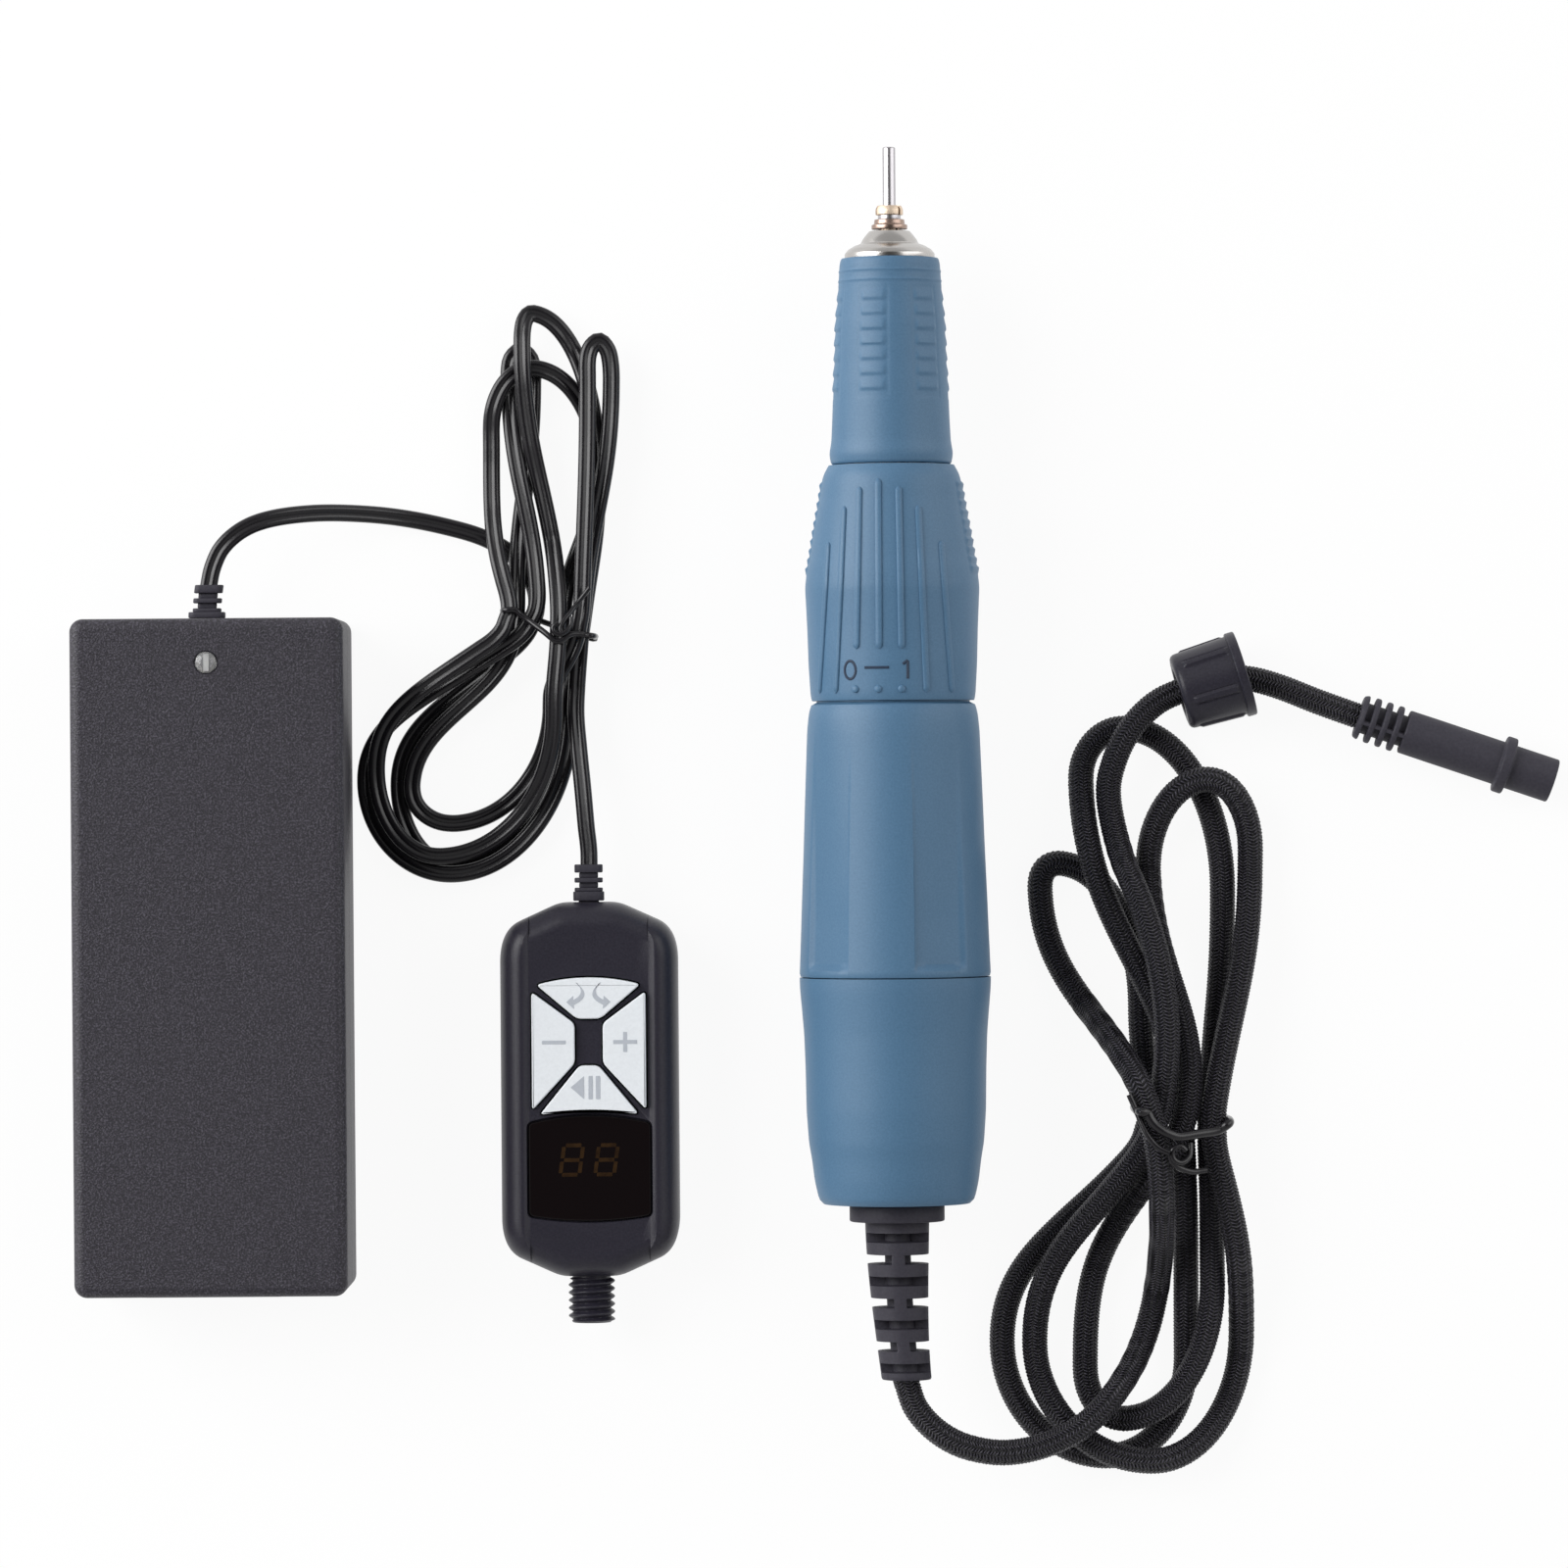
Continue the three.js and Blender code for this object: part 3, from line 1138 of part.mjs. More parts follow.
addMesh("adaptor_base", boxBase(), "box", adaptor);
addMesh("adaptor_cover", boxCover(), "box", adaptor);
addMesh("lamp_lens", lampLens(), "clear", adaptor);
addMesh("mains_inlet", mainsInlet(), "black", adaptor);
["inlet_pin_live", "inlet_pin_earth", "inlet_pin_neutral"].forEach((name, k) => {
  addMesh(name, inletPin(inletPins()[k]), "brass", adaptor);
});
addMesh("adaptor_board", boxBoardBody(), "board", adaptor);
addMesh("transformer", transformerBody(), "black", adaptor);
addMesh("capacitor", capacitorBody(), "black", adaptor);
addMesh("adaptor_boot", ribbedBushing(box.wall, boxBush), "rubber", adaptor)
  .position.set(boxBush.shift, box.length / 2, boxMiddle);

// Plug and union nut on the braided lead

const plugGroup = new THREE.Group();
plugGroup.position.set(plug.x, plug.y, plug.collarRadius);
plugGroup.rotation.z = THREE.MathUtils.degToRad(plug.angle - 90);
drill.add(plugGroup);

function plugBody() {
  const p = plug;
  const rings = steps(0, p.rings - 1, p.rings - 1).flatMap((k) => {
    const start = k * p.ringPitch;
    const end = start + p.ringLength;
    return [[p.coreRadius, start], [p.bootRadius, start], [p.bootRadius, end], [p.coreRadius, end]];
  });
  const collarEnd = p.collarStart + p.collarLength;
  return turned([
    [0, 0], ...rings.slice(1), [p.coreRadius, p.bodyStart - p.chamfer],
    [p.bodyRadius - p.chamfer, p.bodyStart - p.chamfer],
    [p.bodyRadius, p.bodyStart], [p.bodyRadius, p.collarStart], [p.collarRadius, p.collarStart],
    [p.collarRadius, collarEnd],
    [p.tipRadius, collarEnd], [p.tipRadius, p.length - p.chamfer], [p.tipRadius - p.chamfer, p.length],
    [p.bore, p.length],
    [p.bore, p.length - p.boreDepth], [0, p.length - p.boreDepth],
  ], sideCount.plain);
}

function plugContacts() {
  const rear = plug.length - plug.boreDepth + gap;
  const radius = plug.bore - roundGap;
  const face = rear + contacts.discLength;
  const disc = turned([[0, rear], [radius, rear], [radius, face], [0, face]], sideCount.hidden);
  const pins = steps(0, contacts.pins - 1, contacts.pins - 1).map((k) => {
    const sunk = contacts.discLength / 2;
    const pin = rod(contacts.pinRadius, contacts.pinLength + sunk, 8);
    pin.translate(0, face + (contacts.pinLength - sunk) / 2, contacts.pinCircle);
    pin.rotateY((2 * Math.PI * k) / contacts.pins);
    return pin;
  });
  return join(disc, ...pins);
}

const nutGroup = new THREE.Group();
nutGroup.position.set(nut.x, nut.y, nut.rimRadius);
nutGroup.rotation.z = THREE.MathUtils.degToRad(nut.angle - 90);
drill.add(nutGroup);

function unionNut() {
  const n = nut;
  const outer = [
    [n.rearRadius - n.edge, 0], [n.rearRadius, n.edge], [n.radius, n.length - n.rimLength],
    [n.rimRadius, n.length - n.rimLength], [n.rimRadius, n.length],
  ];
  const shell = turned([
    ...outer, [n.bore, n.length], [n.bore, n.shoulder], [n.hole, n.shoulder], [n.hole, 0],
  ], sideCount.plain);
  const surface = (along) => radiusOf(outer, along);
  const half = THREE.MathUtils.radToDeg(n.gripWidth / 2 / n.radius);
  const pads = steps(0, n.grips - 1, n.grips - 1).map((k) => {
    const middle = (360 / n.grips) * k;
    const places = [n.gripStart, n.gripStart + n.gripLength];
    return wrapped(surface, [middle - half, middle, middle + half], places, () => n.gripRaise, () => -n.edge);
  });
  return join(shell, ...pads);
}

addMesh("plug_body", plugBody(), "rubber", plugGroup);
addMesh("plug_contacts", plugContacts(), "brass", plugGroup);
addMesh("union_nut", unionNut(), "rubber", nutGroup);

// Cords. Each one runs in plan from its first fitting through a tied hank to its last. The hank
// passes its waist many times, and between two passes it swings out in a lobe: out to a belly,
// round a tip and back. A lobe is up when it lies on the +Y side of the waist. Slots are places
// across the waist, and lobe points are measured from it. A lean is the angle in degrees at which
// a leg leaves the waist. Where two stretches cross, the one with the higher rank lies on top.

const twinRoute = {
  cord: twin,
  waist: [2.8, 26.3],
  lead: [
    [-59.35, 34.4], [-58.7, 37.2], [-56.9, 40.8], [-53.4, 43.9], [-48.9, 45.8], [-42.5, 46.9], [-35.2, 47.2],
    [-26.1, 46.6], [-17, 44.9], [-8.9, 42.4], [-3.1, 38.6], [0.2, 33.8], [1, 29.8], [1, 26.3],
  ],
  tail: [
    [9, 26.3], [8.5, 21.2], [8, 14.8], [7.8, 9.4], [8.3, 3], [9, -4.3], [9.6, -11.5], [10, -15.2],
    [10.05, -18.1],
  ],
  slots: [-1.8, 2.2, -5.8, 2.2, 6.2, -1.8, -5.8, 6.2, 6.2],
  leadRank: 0,
  tailRank: 2.15,
  lobes: [
    { up: false, out: [-28.2, -29.8], outLean: -45, back: [3.5, -16.4], backLean: 0, tip: [-18.2, -44.6],
      ranks: [1, 2] },
    { up: true, out: [9, 29.9], outLean: 5, back: [-10.4, 36.4], backLean: -18, tip: [-2.9, 47.6],
      ranks: [1.2, 3.1] },
    { up: false, out: [-32.2, -27], outLean: -55, back: [1, -16.4], backLean: -3, tip: [-20.7, -42.9],
      ranks: [4, 4] },
    { up: true, out: [-4.5, 52.8], outLean: -2, back: [9.3, 29], backLean: 8, tip: [-3, 57.8],
      ranks: [4, 2] },
    { up: false, out: [3.9, -16.4], outLean: -4, back: [-34.4, -28.8], backLean: -55, tip: [-18.5, -46.2],
      ranks: [2.1, 3] },
    { up: true, out: [-7.1, 47.2], outLean: 0, back: [-2.7, 47.1], backLean: -2, tip: [-4.9, 51.1],
      ranks: [3, 1.1] },
    { up: false, out: [-25.7, -30.3], outLean: -5, back: [0.4, -14.5], backLean: -4, tip: [-18.3, -36.8],
      ranks: [2, 3.2] },
    { up: true, out: [7.6, 48.2], outLean: 2, back: [12, 46.3], backLean: 4, tip: [9.9, 52.5],
      ranks: [5, 3] },
  ],
  tie: 0.55,
};

const braidRoute = {
  cord: braid,
  waist: [119.6, -68.8],
  lead: [
    [68.1, -114.4], [69.7, -118.8], [73.5, -123], [78.9, -126], [86.2, -127.3], [94, -125.9], [101.3, -122],
    [107.2, -115.8], [111.6, -108.6], [114.4, -99.7], [115.4, -88.8], [115, -76.9], [114.3, -68.8],
  ],
  tail: [
    [114.3, -68.8], [115.7, -60.6], [116.5, -49.7], [115.1, -37.8], [112.1, -26.9], [108.4, -16.9],
    [106.4, -6.3],
    [107.6, 0.4], [110.6, 6.2], [115, 10.6], [119.6, 12.9], [125.9, 15], [131.9, 15.3], [137.9, 13.8],
    [145.5, 10.8], [152.6, 8.2],
  ],
  slots: [-5.3, -5.3, 0, 5.3, 0, 5.3, -5.3],
  leadRank: 4,
  tailRank: 3.5,
  lobes: [
    { up: true, out: [-25.9, 46], outLean: -12, back: [-7.4, 23.7], backLean: -5, tip: [-22.8, 50],
      ranks: [3.6, 1] },
    { up: false, out: [-33.6, -38.8], outLean: -38, back: [0.6, -41.8], backLean: 3, tip: [-14.1, -60.2],
      ranks: [1, 1.5] },
    { up: true, out: [-18.2, 65.6], outLean: 0, back: [8, 45.4], backLean: 3, tip: [-10.3, 75],
      ranks: [2, 2] },
    { up: false, out: [5.4, -27.3], outLean: 3, back: [-18.2, -44], backLean: -38, tip: [-11.5, -53],
      ranks: [2, 2] },
    { up: true, out: [-5.8, 49.1], outLean: 12, back: [13.1, 52.6], backLean: 8, tip: [5, 65.4],
      ranks: [3, 3] },
    { up: false, out: [10.8, -37.7], outLean: 14, back: [-27.6, -38.9], backLean: -35, tip: [-5.9, -60.8],
      ranks: [3, 3] },
  ],
  tie: 0.9,
};

// One leg of a lobe, in plan: from the waist out to the belly, then round to the tip
function lobeLeg(waist, slot, lean, up, belly, tip) {
  const side = up ? 1 : -1;
  const v = (x, y) => new THREE.Vector2(waist[0] + x, waist[1] + y);
  const reach = lay.waistShare * Math.abs(belly[1]);
  const slope = Math.tan(THREE.MathUtils.degToRad(lean));
  const outward = new THREE.CubicBezierCurve(
    v(slot, 0), v(slot + reach * slope, side * reach), v(belly[0], belly[1] * (1 - lay.bellyShare)),
    v(...belly));
  const round = new THREE.CubicBezierCurve(
    v(...belly), v(belly[0], belly[1] + lay.roundShare * (tip[1] - belly[1])),
    v(tip[0] + lay.roundShare * (belly[0] - tip[0]), tip[1]), v(...tip));
  return [outward, round];
}

// The whole route in plan, as points a fine step apart with the rank of each
function planRoute(route) {
  const points = [];
  const add = (curve, rank, reversed) => {
    const spaced = curve.getSpacedPoints(Math.max(2, Math.round(curve.getLength() / lay.step)));
    const ordered = reversed ? spaced.reverse() : spaced;
    ordered.slice(points.length > 0 ? 1 : 0).forEach((p) => points.push({ x: p.x, y: p.y, rank }));
  };
  const toVectors = (list) => list.map(([x, y]) => new THREE.Vector2(x, y));
  add(new THREE.SplineCurve(toVectors(route.lead)), route.leadRank, false);
  const hankStart = points.length - 1;
  route.lobes.forEach((lobe, k) => {
    const [outNear, outFar] = lobeLeg(route.waist, route.slots[k], lobe.outLean, lobe.up, lobe.out, lobe.tip);
    const [backNear, backFar] = lobeLeg(
      route.waist, route.slots[k + 1], lobe.backLean, lobe.up, lobe.back, lobe.tip);
    add(outNear, lobe.ranks[0], false);
    add(outFar, lobe.ranks[0], false);
    add(backFar, lobe.ranks[1], true);
    add(backNear, lobe.ranks[1], true);
  });
  const hankEnd = points.length - 1;
  add(new THREE.SplineCurve(toVectors(route.tail)), route.tailRank, false);
  return { points: easedAtWaist(points, route.waist[1]), hankStart, hankEnd };
}

// Rounds the bends where the passes lean in to the waist
function easedAtWaist(points, waistY) {
  return points.map((point, i) => {
    const share = Math.max(0, 1 - Math.abs(point.y - waistY) / lay.easeReach);
    const reach = Math.min(lay.easeCount, i, points.length - 1 - i);
    if (share === 0 || reach === 0) {
      return point;
    }
    const near = points.slice(i - reach, i + reach + 1);
    const mean = (pick) => near.reduce((sum, p) => sum + pick(p), 0) / near.length;
    const towards = (from, to) => from + (to - from) * share;
    return { x: towards(point.x, mean((p) => p.x)), y: towards(point.y, mean((p) => p.y)), rank: point.rank };
  });
}

// Evens out a value along the route: the highest within reach, then the mean within reach
function evened(values, reach) {
  const near = (list, i) => list.slice(Math.max(0, i - reach), i + reach + 1);
  const highest = values.map((_, i) => Math.max(...near(values, i)));
  return values.map((_, i) => {
    const part = near(highest, i);
    return part.reduce((sum, value) => sum + value, 0) / part.length;
  });
}

// Heights of the route: on the table, or on whatever lower-ranked stretch lies under it
function layHeights(route, plan, ends) {
  const { points } = plan;
  const { width, thickness } = route.cord;
  const floor = thickness / 2 + lay.lift;
  const reach = Math.round(lay.hump / lay.step);
  const droop = (height, count) => {
    const t = THREE.MathUtils.clamp((count * lay.step - lay.level) / lay.fall, 0, 1);
    return floor + (height - floor) * (1 - THREE.MathUtils.smoothstep(t, 0, 1));
  };
  const base = points.map((p, i) => {
    const wound = i >= plan.hankStart - reach && i <= plan.hankEnd + reach;
    const tied = wound && Math.abs(p.y - route.waist[1]) < lay.tieReach;
    const props = ends.props.filter((prop) => Math.hypot(p.x - prop.x, p.y - prop.y) < prop.reach);
    return Math.max(
      droop(ends.startHeight, i), droop(ends.endHeight, points.length - 1 - i),
      floor + (tied ? 2 * route.tie + lay.spare : 0), ...props.map((prop) => prop.z),
    );
  });
  const pairs = [];
  points.forEach((upper, i) => {
    for (let j = 0; j < i - 2 * reach - 1; j += 1) {
      const share = Math.hypot(upper.x - points[j].x, upper.y - points[j].y) / (width + lay.sideSpare);
      if (share < 1) {
        const rise = (thickness + lay.spare) * Math.sqrt(1 - share * share);
        const order = upper.rank >= points[j].rank ? [i, j] : [j, i];
        pairs.push([...order, rise]);
      }
    }
  });
  let heights = evened(base, reach);
  for (let round = 0; round < lay.rounds; round += 1) {
    const need = base.slice();
    pairs.forEach(([over, under, rise]) => {
      need[over] = Math.max(need[over], heights[under] + rise);
    });
    heights = evened(need, reach);
  }
  return points.map((p, i) => new THREE.Vector3(p.x, p.y, heights[i]));
}

// Fewer points for a faceted tube: one where the route has turned enough or run far enough
function thinned(path) {
  const kept = path.slice(0, 2);
  let turn = 0;
  let run = 0;
  for (let i = 2; i + 2 < path.length; i += 1) {
    const before = path[i].clone().sub(path[i - 1]);
    const after = path[i + 1].clone().sub(path[i]);
    turn += THREE.MathUtils.radToDeg(before.angleTo(after));
    run += before.length();
    if (turn > lay.turn || run > lay.longest) {
      kept.push(path[i]);
      turn = 0;
      run = 0;
    }
  }
  kept.push(...path.slice(-2));
  return kept;
}

// Cuts a stretch out of a path, with straight square ends
function stretch(path, from, to, width) {
  const way = (i) => path[Math.min(path.length - 1, i + 1)].clone().sub(path[Math.max(0, i - 1)]).normalize();
  const start = path[from].clone().addScaledVector(way(from), gap / 2);
  const end = path[to].clone().addScaledVector(way(to), -gap / 2);
  const startIn = start.clone().addScaledVector(way(from), width);
  const endIn = end.clone().addScaledVector(way(to), -width);
  const clear = lay.endClearShare * width;
  const middle = path.slice(from, to + 1)
    .filter((p) => p.distanceTo(start) > clear && p.distanceTo(end) > clear);
  return [start, startIn, ...middle, endIn, end];
}

// Sections of a tube that stay level: width across the route in plan, thickness upward
function levelSections(path, cord, sides) {
  const up = new THREE.Vector3(0, 0, 1);
  const section = circleOutline(0.5, sides);
  const last = path.length - 1;
  return path.map((point, i) => {
    const ahead = path[Math.min(i + 1, last)].clone().sub(path[Math.min(i, last - 1)]).normalize();
    const behind = path[Math.max(i, 1)].clone().sub(path[Math.max(i - 1, 0)]).normalize();
    const along = ahead.add(behind).normalize();
    const across = new THREE.Vector3().crossVectors(along, up).normalize().multiplyScalar(cord.width);
    const rise = new THREE.Vector3().crossVectors(across, along).normalize().multiplyScalar(cord.thickness);
    return section.map((p) => point.clone().addScaledVector(across, p.x).addScaledVector(rise, p.y));
  });
}

// The least gap of a tube to itself, on points a short way apart along its edges
function leastSelfGap(sections, width) {
  const rings = [];
  let run = 0;
  sections.slice(1).forEach((section, i) => {
    const before = sections[i];
    const length = section[0].distanceTo(before[0]);
    const count = Math.max(1, Math.round(length / lay.probe));
    for (let k = 0; k < count; k += 1) {
      const points = section.map((p, n) => before[n].clone().lerp(p, k / count));
      const middle = points.reduce((sum, p) => sum.add(p), new THREE.Vector3()).divideScalar(points.length);
      const sides = points.flatMap((p, n) => [p, p.clone().lerp(points[(n + 1) % points.length], 1 / 2)]);
      rings.push({ points: sides, middle, run: run + (length * k) / count });
    }
    run += length;
  });
  let least = Infinity;
  rings.forEach((ring, i) => {
    for (let j = 0; j < i; j += 1) {
      const other = rings[j];
      if (ring.run - other.run > 2 * lay.hump && ring.middle.distanceTo(other.middle) < 2 * width) {
        ring.points.forEach((p) => other.points.forEach((q) => {
          least = Math.min(least, p.distanceTo(q));
        }));
      }
    }
  });
  return least;
}

// A free stretch, drawn along a smooth curve
function freeTube(path, cord) {
  const curve = new THREE.CatmullRomCurve3(path, false, "centripetal");
  const outline = circleOutline(0.5, cordSides.free);
  const corners = outline.map((p) => new THREE.Vector2(p.x * cord.thickness, p.y * cord.width));
  const section = new THREE.Shape(corners);
  const count = Math.max(lay.fewest, Math.round(curve.getLength() / (lay.stride * cord.width)));
  return weld(new THREE.ExtrudeGeometry(section, { steps: count, extrudePath: curve, bevelEnabled: false }));
}

// A wire tie round the waist: once round the bundle, its ends laid on top
function hankTie(route, path, plan) {
  const waistY = route.waist[1];
  const radius = route.tie;
  const wound = path.slice(plan.hankStart, plan.hankEnd + 1);
  const part = wound.filter((p) => Math.abs(p.y - waistY) < lay.tieReach);
  const spareX = route.cord.width / 2 + radius + lay.sideSpare;
  const spareZ = route.cord.thickness / 2 + radius + lay.sideSpare;
  const { min, max } = new THREE.Box3().setFromPoints(part);
  const [halfX, halfZ] = [(max.x - min.x) / 2 + spareX, (max.z - min.z) / 2 + spareZ];
  const outline = roundedRectangle(halfX, halfZ, Math.min(halfX, halfZ) / 3, 2);
  const loop = [...outline.slice(2), ...outline.slice(0, 2)].map((p, k, all) => {
    const shift = (k / (all.length - 1) - 0.5) * (2 * radius + lay.spare);
    return new THREE.Vector3((min.x + max.x) / 2 + p.x, waistY + shift, (min.z + max.z) / 2 + p.y);
  });
  const tail = (point, side) => {
    return point.clone().add(new THREE.Vector3(side * tieTail, (-side * tieTail) / 2, radius));
  };
  const whole = [tail(loop[0], 1), ...loop, tail(loop[loop.length - 1], -1)];
  const curve = new THREE.CatmullRomCurve3(whole, false, "centripetal");
  const section = new THREE.Shape(circleOutline(radius, cordSides.tie));
  const options = { steps: 2 * whole.length, extrudePath: curve, bevelEnabled: false };
  return weld(new THREE.ExtrudeGeometry(section, options));
}

function addCord(prefix, route, ends, look) {
  const plan = planRoute(route);
  const path = layHeights(route, plan, ends);
  const stretches = {
    lead: [0, plan.hankStart - ends.leadIn],
    hank: [plan.hankStart - ends.leadIn, plan.hankEnd + ends.tailIn],
    tail: [plan.hankEnd + ends.tailIn, path.length - 1],
  };
  Object.entries(stretches).forEach(([name, [from, to]]) => {
    const piece = thinned(stretch(path, from, to, route.cord.width));
    if (name === "hank") {
      const sections = levelSections(piece, route.cord, cordSides.wound);
      const least = leastSelfGap(sections, route.cord.width);
      console.log(`${prefix}_${name}: least gap to itself ${least.toFixed(2)} mm`);
      addMesh(`${prefix}_${name}`, loft(sections), look);
    } else {
      addMesh(`${prefix}_${name}`, freeTube(piece, route.cord), look);
    }
  });
  addMesh(`${prefix}_tie`, hankTie(route, path, plan), "cord");
}

addCord("twin_cord", twinRoute, {
  startHeight: boxMiddle, endHeight: padMiddle, leadIn: 12, tailIn: 8, props: [],
}, "cord");
addCord("braided_cord", braidRoute, {
  startHeight: cap.radius, endHeight: plug.collarRadius, leadIn: 10, tailIn: 22,
  props: [{ x: 125.5, y: 14.5, z: 6.1, reach: 10 }],
}, "weave");

export default drill;
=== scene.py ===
# Looks of the electric nail drill set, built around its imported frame.
# The tables are in millimetres, and every mesh is scaled to metres when it is made.
import bisect
import json
import math

import bmesh
import bpy
from mathutils import Matrix, Vector


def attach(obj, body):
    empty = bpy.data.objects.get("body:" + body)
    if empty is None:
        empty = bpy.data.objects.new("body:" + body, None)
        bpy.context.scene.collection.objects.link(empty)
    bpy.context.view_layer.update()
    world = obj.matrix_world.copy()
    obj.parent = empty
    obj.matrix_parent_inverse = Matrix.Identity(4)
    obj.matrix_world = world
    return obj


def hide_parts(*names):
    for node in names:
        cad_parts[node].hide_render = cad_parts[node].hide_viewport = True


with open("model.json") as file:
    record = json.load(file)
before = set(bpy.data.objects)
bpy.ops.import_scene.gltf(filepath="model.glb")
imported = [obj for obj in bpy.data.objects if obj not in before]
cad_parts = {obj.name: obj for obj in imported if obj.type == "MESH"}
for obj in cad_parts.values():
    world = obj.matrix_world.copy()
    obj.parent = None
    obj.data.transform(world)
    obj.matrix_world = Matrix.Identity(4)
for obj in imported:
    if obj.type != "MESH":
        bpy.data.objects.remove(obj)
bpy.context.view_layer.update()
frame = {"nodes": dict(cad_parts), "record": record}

MM = 0.001
scene = bpy.context.scene

# Camera: straight above the set
CAMERA = {"x": 46.25, "y": -3.65, "height": 1500, "roll": -0.45, "lens": 184.93, "sensor": 36}


def add_camera():
    data = bpy.data.cameras.new("camera")
    data.lens = CAMERA["lens"]
    data.sensor_width = CAMERA["sensor"]
    data.clip_end = 3 * CAMERA["height"] * MM
    camera = bpy.data.objects.new("camera", data)
    camera.location = (CAMERA["x"] * MM, CAMERA["y"] * MM, CAMERA["height"] * MM)
    camera.rotation_euler = (0, 0, math.radians(CAMERA["roll"]))
    scene.collection.objects.link(camera)
    scene.camera = camera


add_camera()

# Materials


def linear(code):
    """An sRGB colour, 0 to 255 a channel, as linear light."""
    shares = [c / 255 for c in code]
    return [s / 12.92 if s <= 0.04045 else ((s + 0.055) / 1.055) ** 2.4 for s in shares] + [1]


def set_stops(ramp, stops):
    for k, (position, color) in enumerate(stops):
        stop = ramp.elements[k] if k < 2 else ramp.elements.new(position)
        stop.position = position
        stop.color = color


class Paint:
    """A node material that is built up from its surface's coordinates."""

    def __init__(self, name, color, roughness, metallic=0, specular=0.5):
        self.material = bpy.data.materials.new(name)
        self.material.use_nodes = True
        self.tree = self.material.node_tree
        self.shader = self.tree.nodes["Principled BSDF"]
        self.color = linear(color)
        self.shader.inputs["Base Color"].default_value = self.color
        self.shader.inputs["Roughness"].default_value = roughness
        self.shader.inputs["Metallic"].default_value = metallic
        self.shader.inputs["Specular IOR Level"].default_value = specular
        self.place = self.tree.nodes.new("ShaderNodeTexCoord").outputs["Object"]
        self.normal = None

    def link(self, output, node, name):
        self.tree.links.new(output, node.inputs[name])

    def noise(self, size, detail=2, stretch=None):
        """Noise whose grains are about that many millimetres across."""
        node = self.tree.nodes.new("ShaderNodeTexNoise")
        node.inputs["Scale"].default_value = 1 / (size * MM)
        node.inputs["Detail"].default_value = detail
        place = self.place
        if stretch:
            mapping = self.tree.nodes.new("ShaderNodeMapping")
            mapping.inputs["Scale"].default_value = stretch
            self.link(place, mapping, "Vector")
            place = mapping.outputs["Vector"]
        self.link(place, node, "Vector")
        return node.outputs["Fac"]

    def ramp(self, value, stops):
        node = self.tree.nodes.new("ShaderNodeValToRGB")
        set_stops(node.color_ramp, [(position, linear(color)) for position, color in stops])
        self.link(value, node, "Fac")
        return node.outputs["Color"]

    def tint(self, value, stops):
        self.link(self.ramp(value, stops), self.shader, "Base Color")
        return self

    def mottle(self, value, low, high):
        """The base colour drifts from low to high with a value round one half."""
        return self.tint(value, [(0.3, low), (0.7, high)])

    def vary(self, value, low, high):
        node = self.tree.nodes.new("ShaderNodeMapRange")
        node.inputs["To Min"].default_value = low
        node.inputs["To Max"].default_value = high
        self.link(value, node, "Value")
        self.link(node.outputs["Result"], self.shader, "Roughness")
        return self

    def bump(self, value, depth, strength=1):
        """Bump of that depth in millimetres."""
        node = self.tree.nodes.new("ShaderNodeBump")
        node.inputs["Distance"].default_value = depth * MM
        node.inputs["Strength"].default_value = strength
        self.link(value, node, "Height")
        if self.normal:
            self.link(self.normal, node, "Normal")
        self.normal = node.outputs["Normal"]
        self.link(self.normal, self.shader, "Normal")
        return self

    def set(self, name, value):
        self.shader.inputs[name].default_value = value
        return self


def ground_metal(name, color, roughness, stretch, depth):
    paint = Paint(name, color, roughness, metallic=1)
    lines = paint.noise(0.25, 3, stretch)
    paint.vary(lines, roughness * 0.75, roughness * 1.3)
    return paint.bump(lines, depth)


def cloudy_metal(name, color, roughness, cloud, detail, low, high):
    """Polished metal whose roughness drifts from low to high, in clouds of that many millimetres."""
    paint = Paint(name, color, roughness, metallic=1)
    return paint.vary(paint.noise(cloud, detail), low, high)


def moulded(name, color, roughness, grain, depth, drift=4, specular=0.5):
    """Moulded plastic: a fine grain, and a colour that drifts a little."""
    paint = Paint(name, color, roughness, specular=specular)
    fine = paint.noise(grain, 2)
    low = [max(0, c - drift) for c in color]
    high = [min(255, c + drift) for c in color]
    paint.mottle(paint.noise(grain * 1.7, 3), low, high)
    return paint.bump(fine, depth)


BRAID_COLUMNS = 14
BRAID_PITCH = 0.62
BRAID_SLANT = 0.85


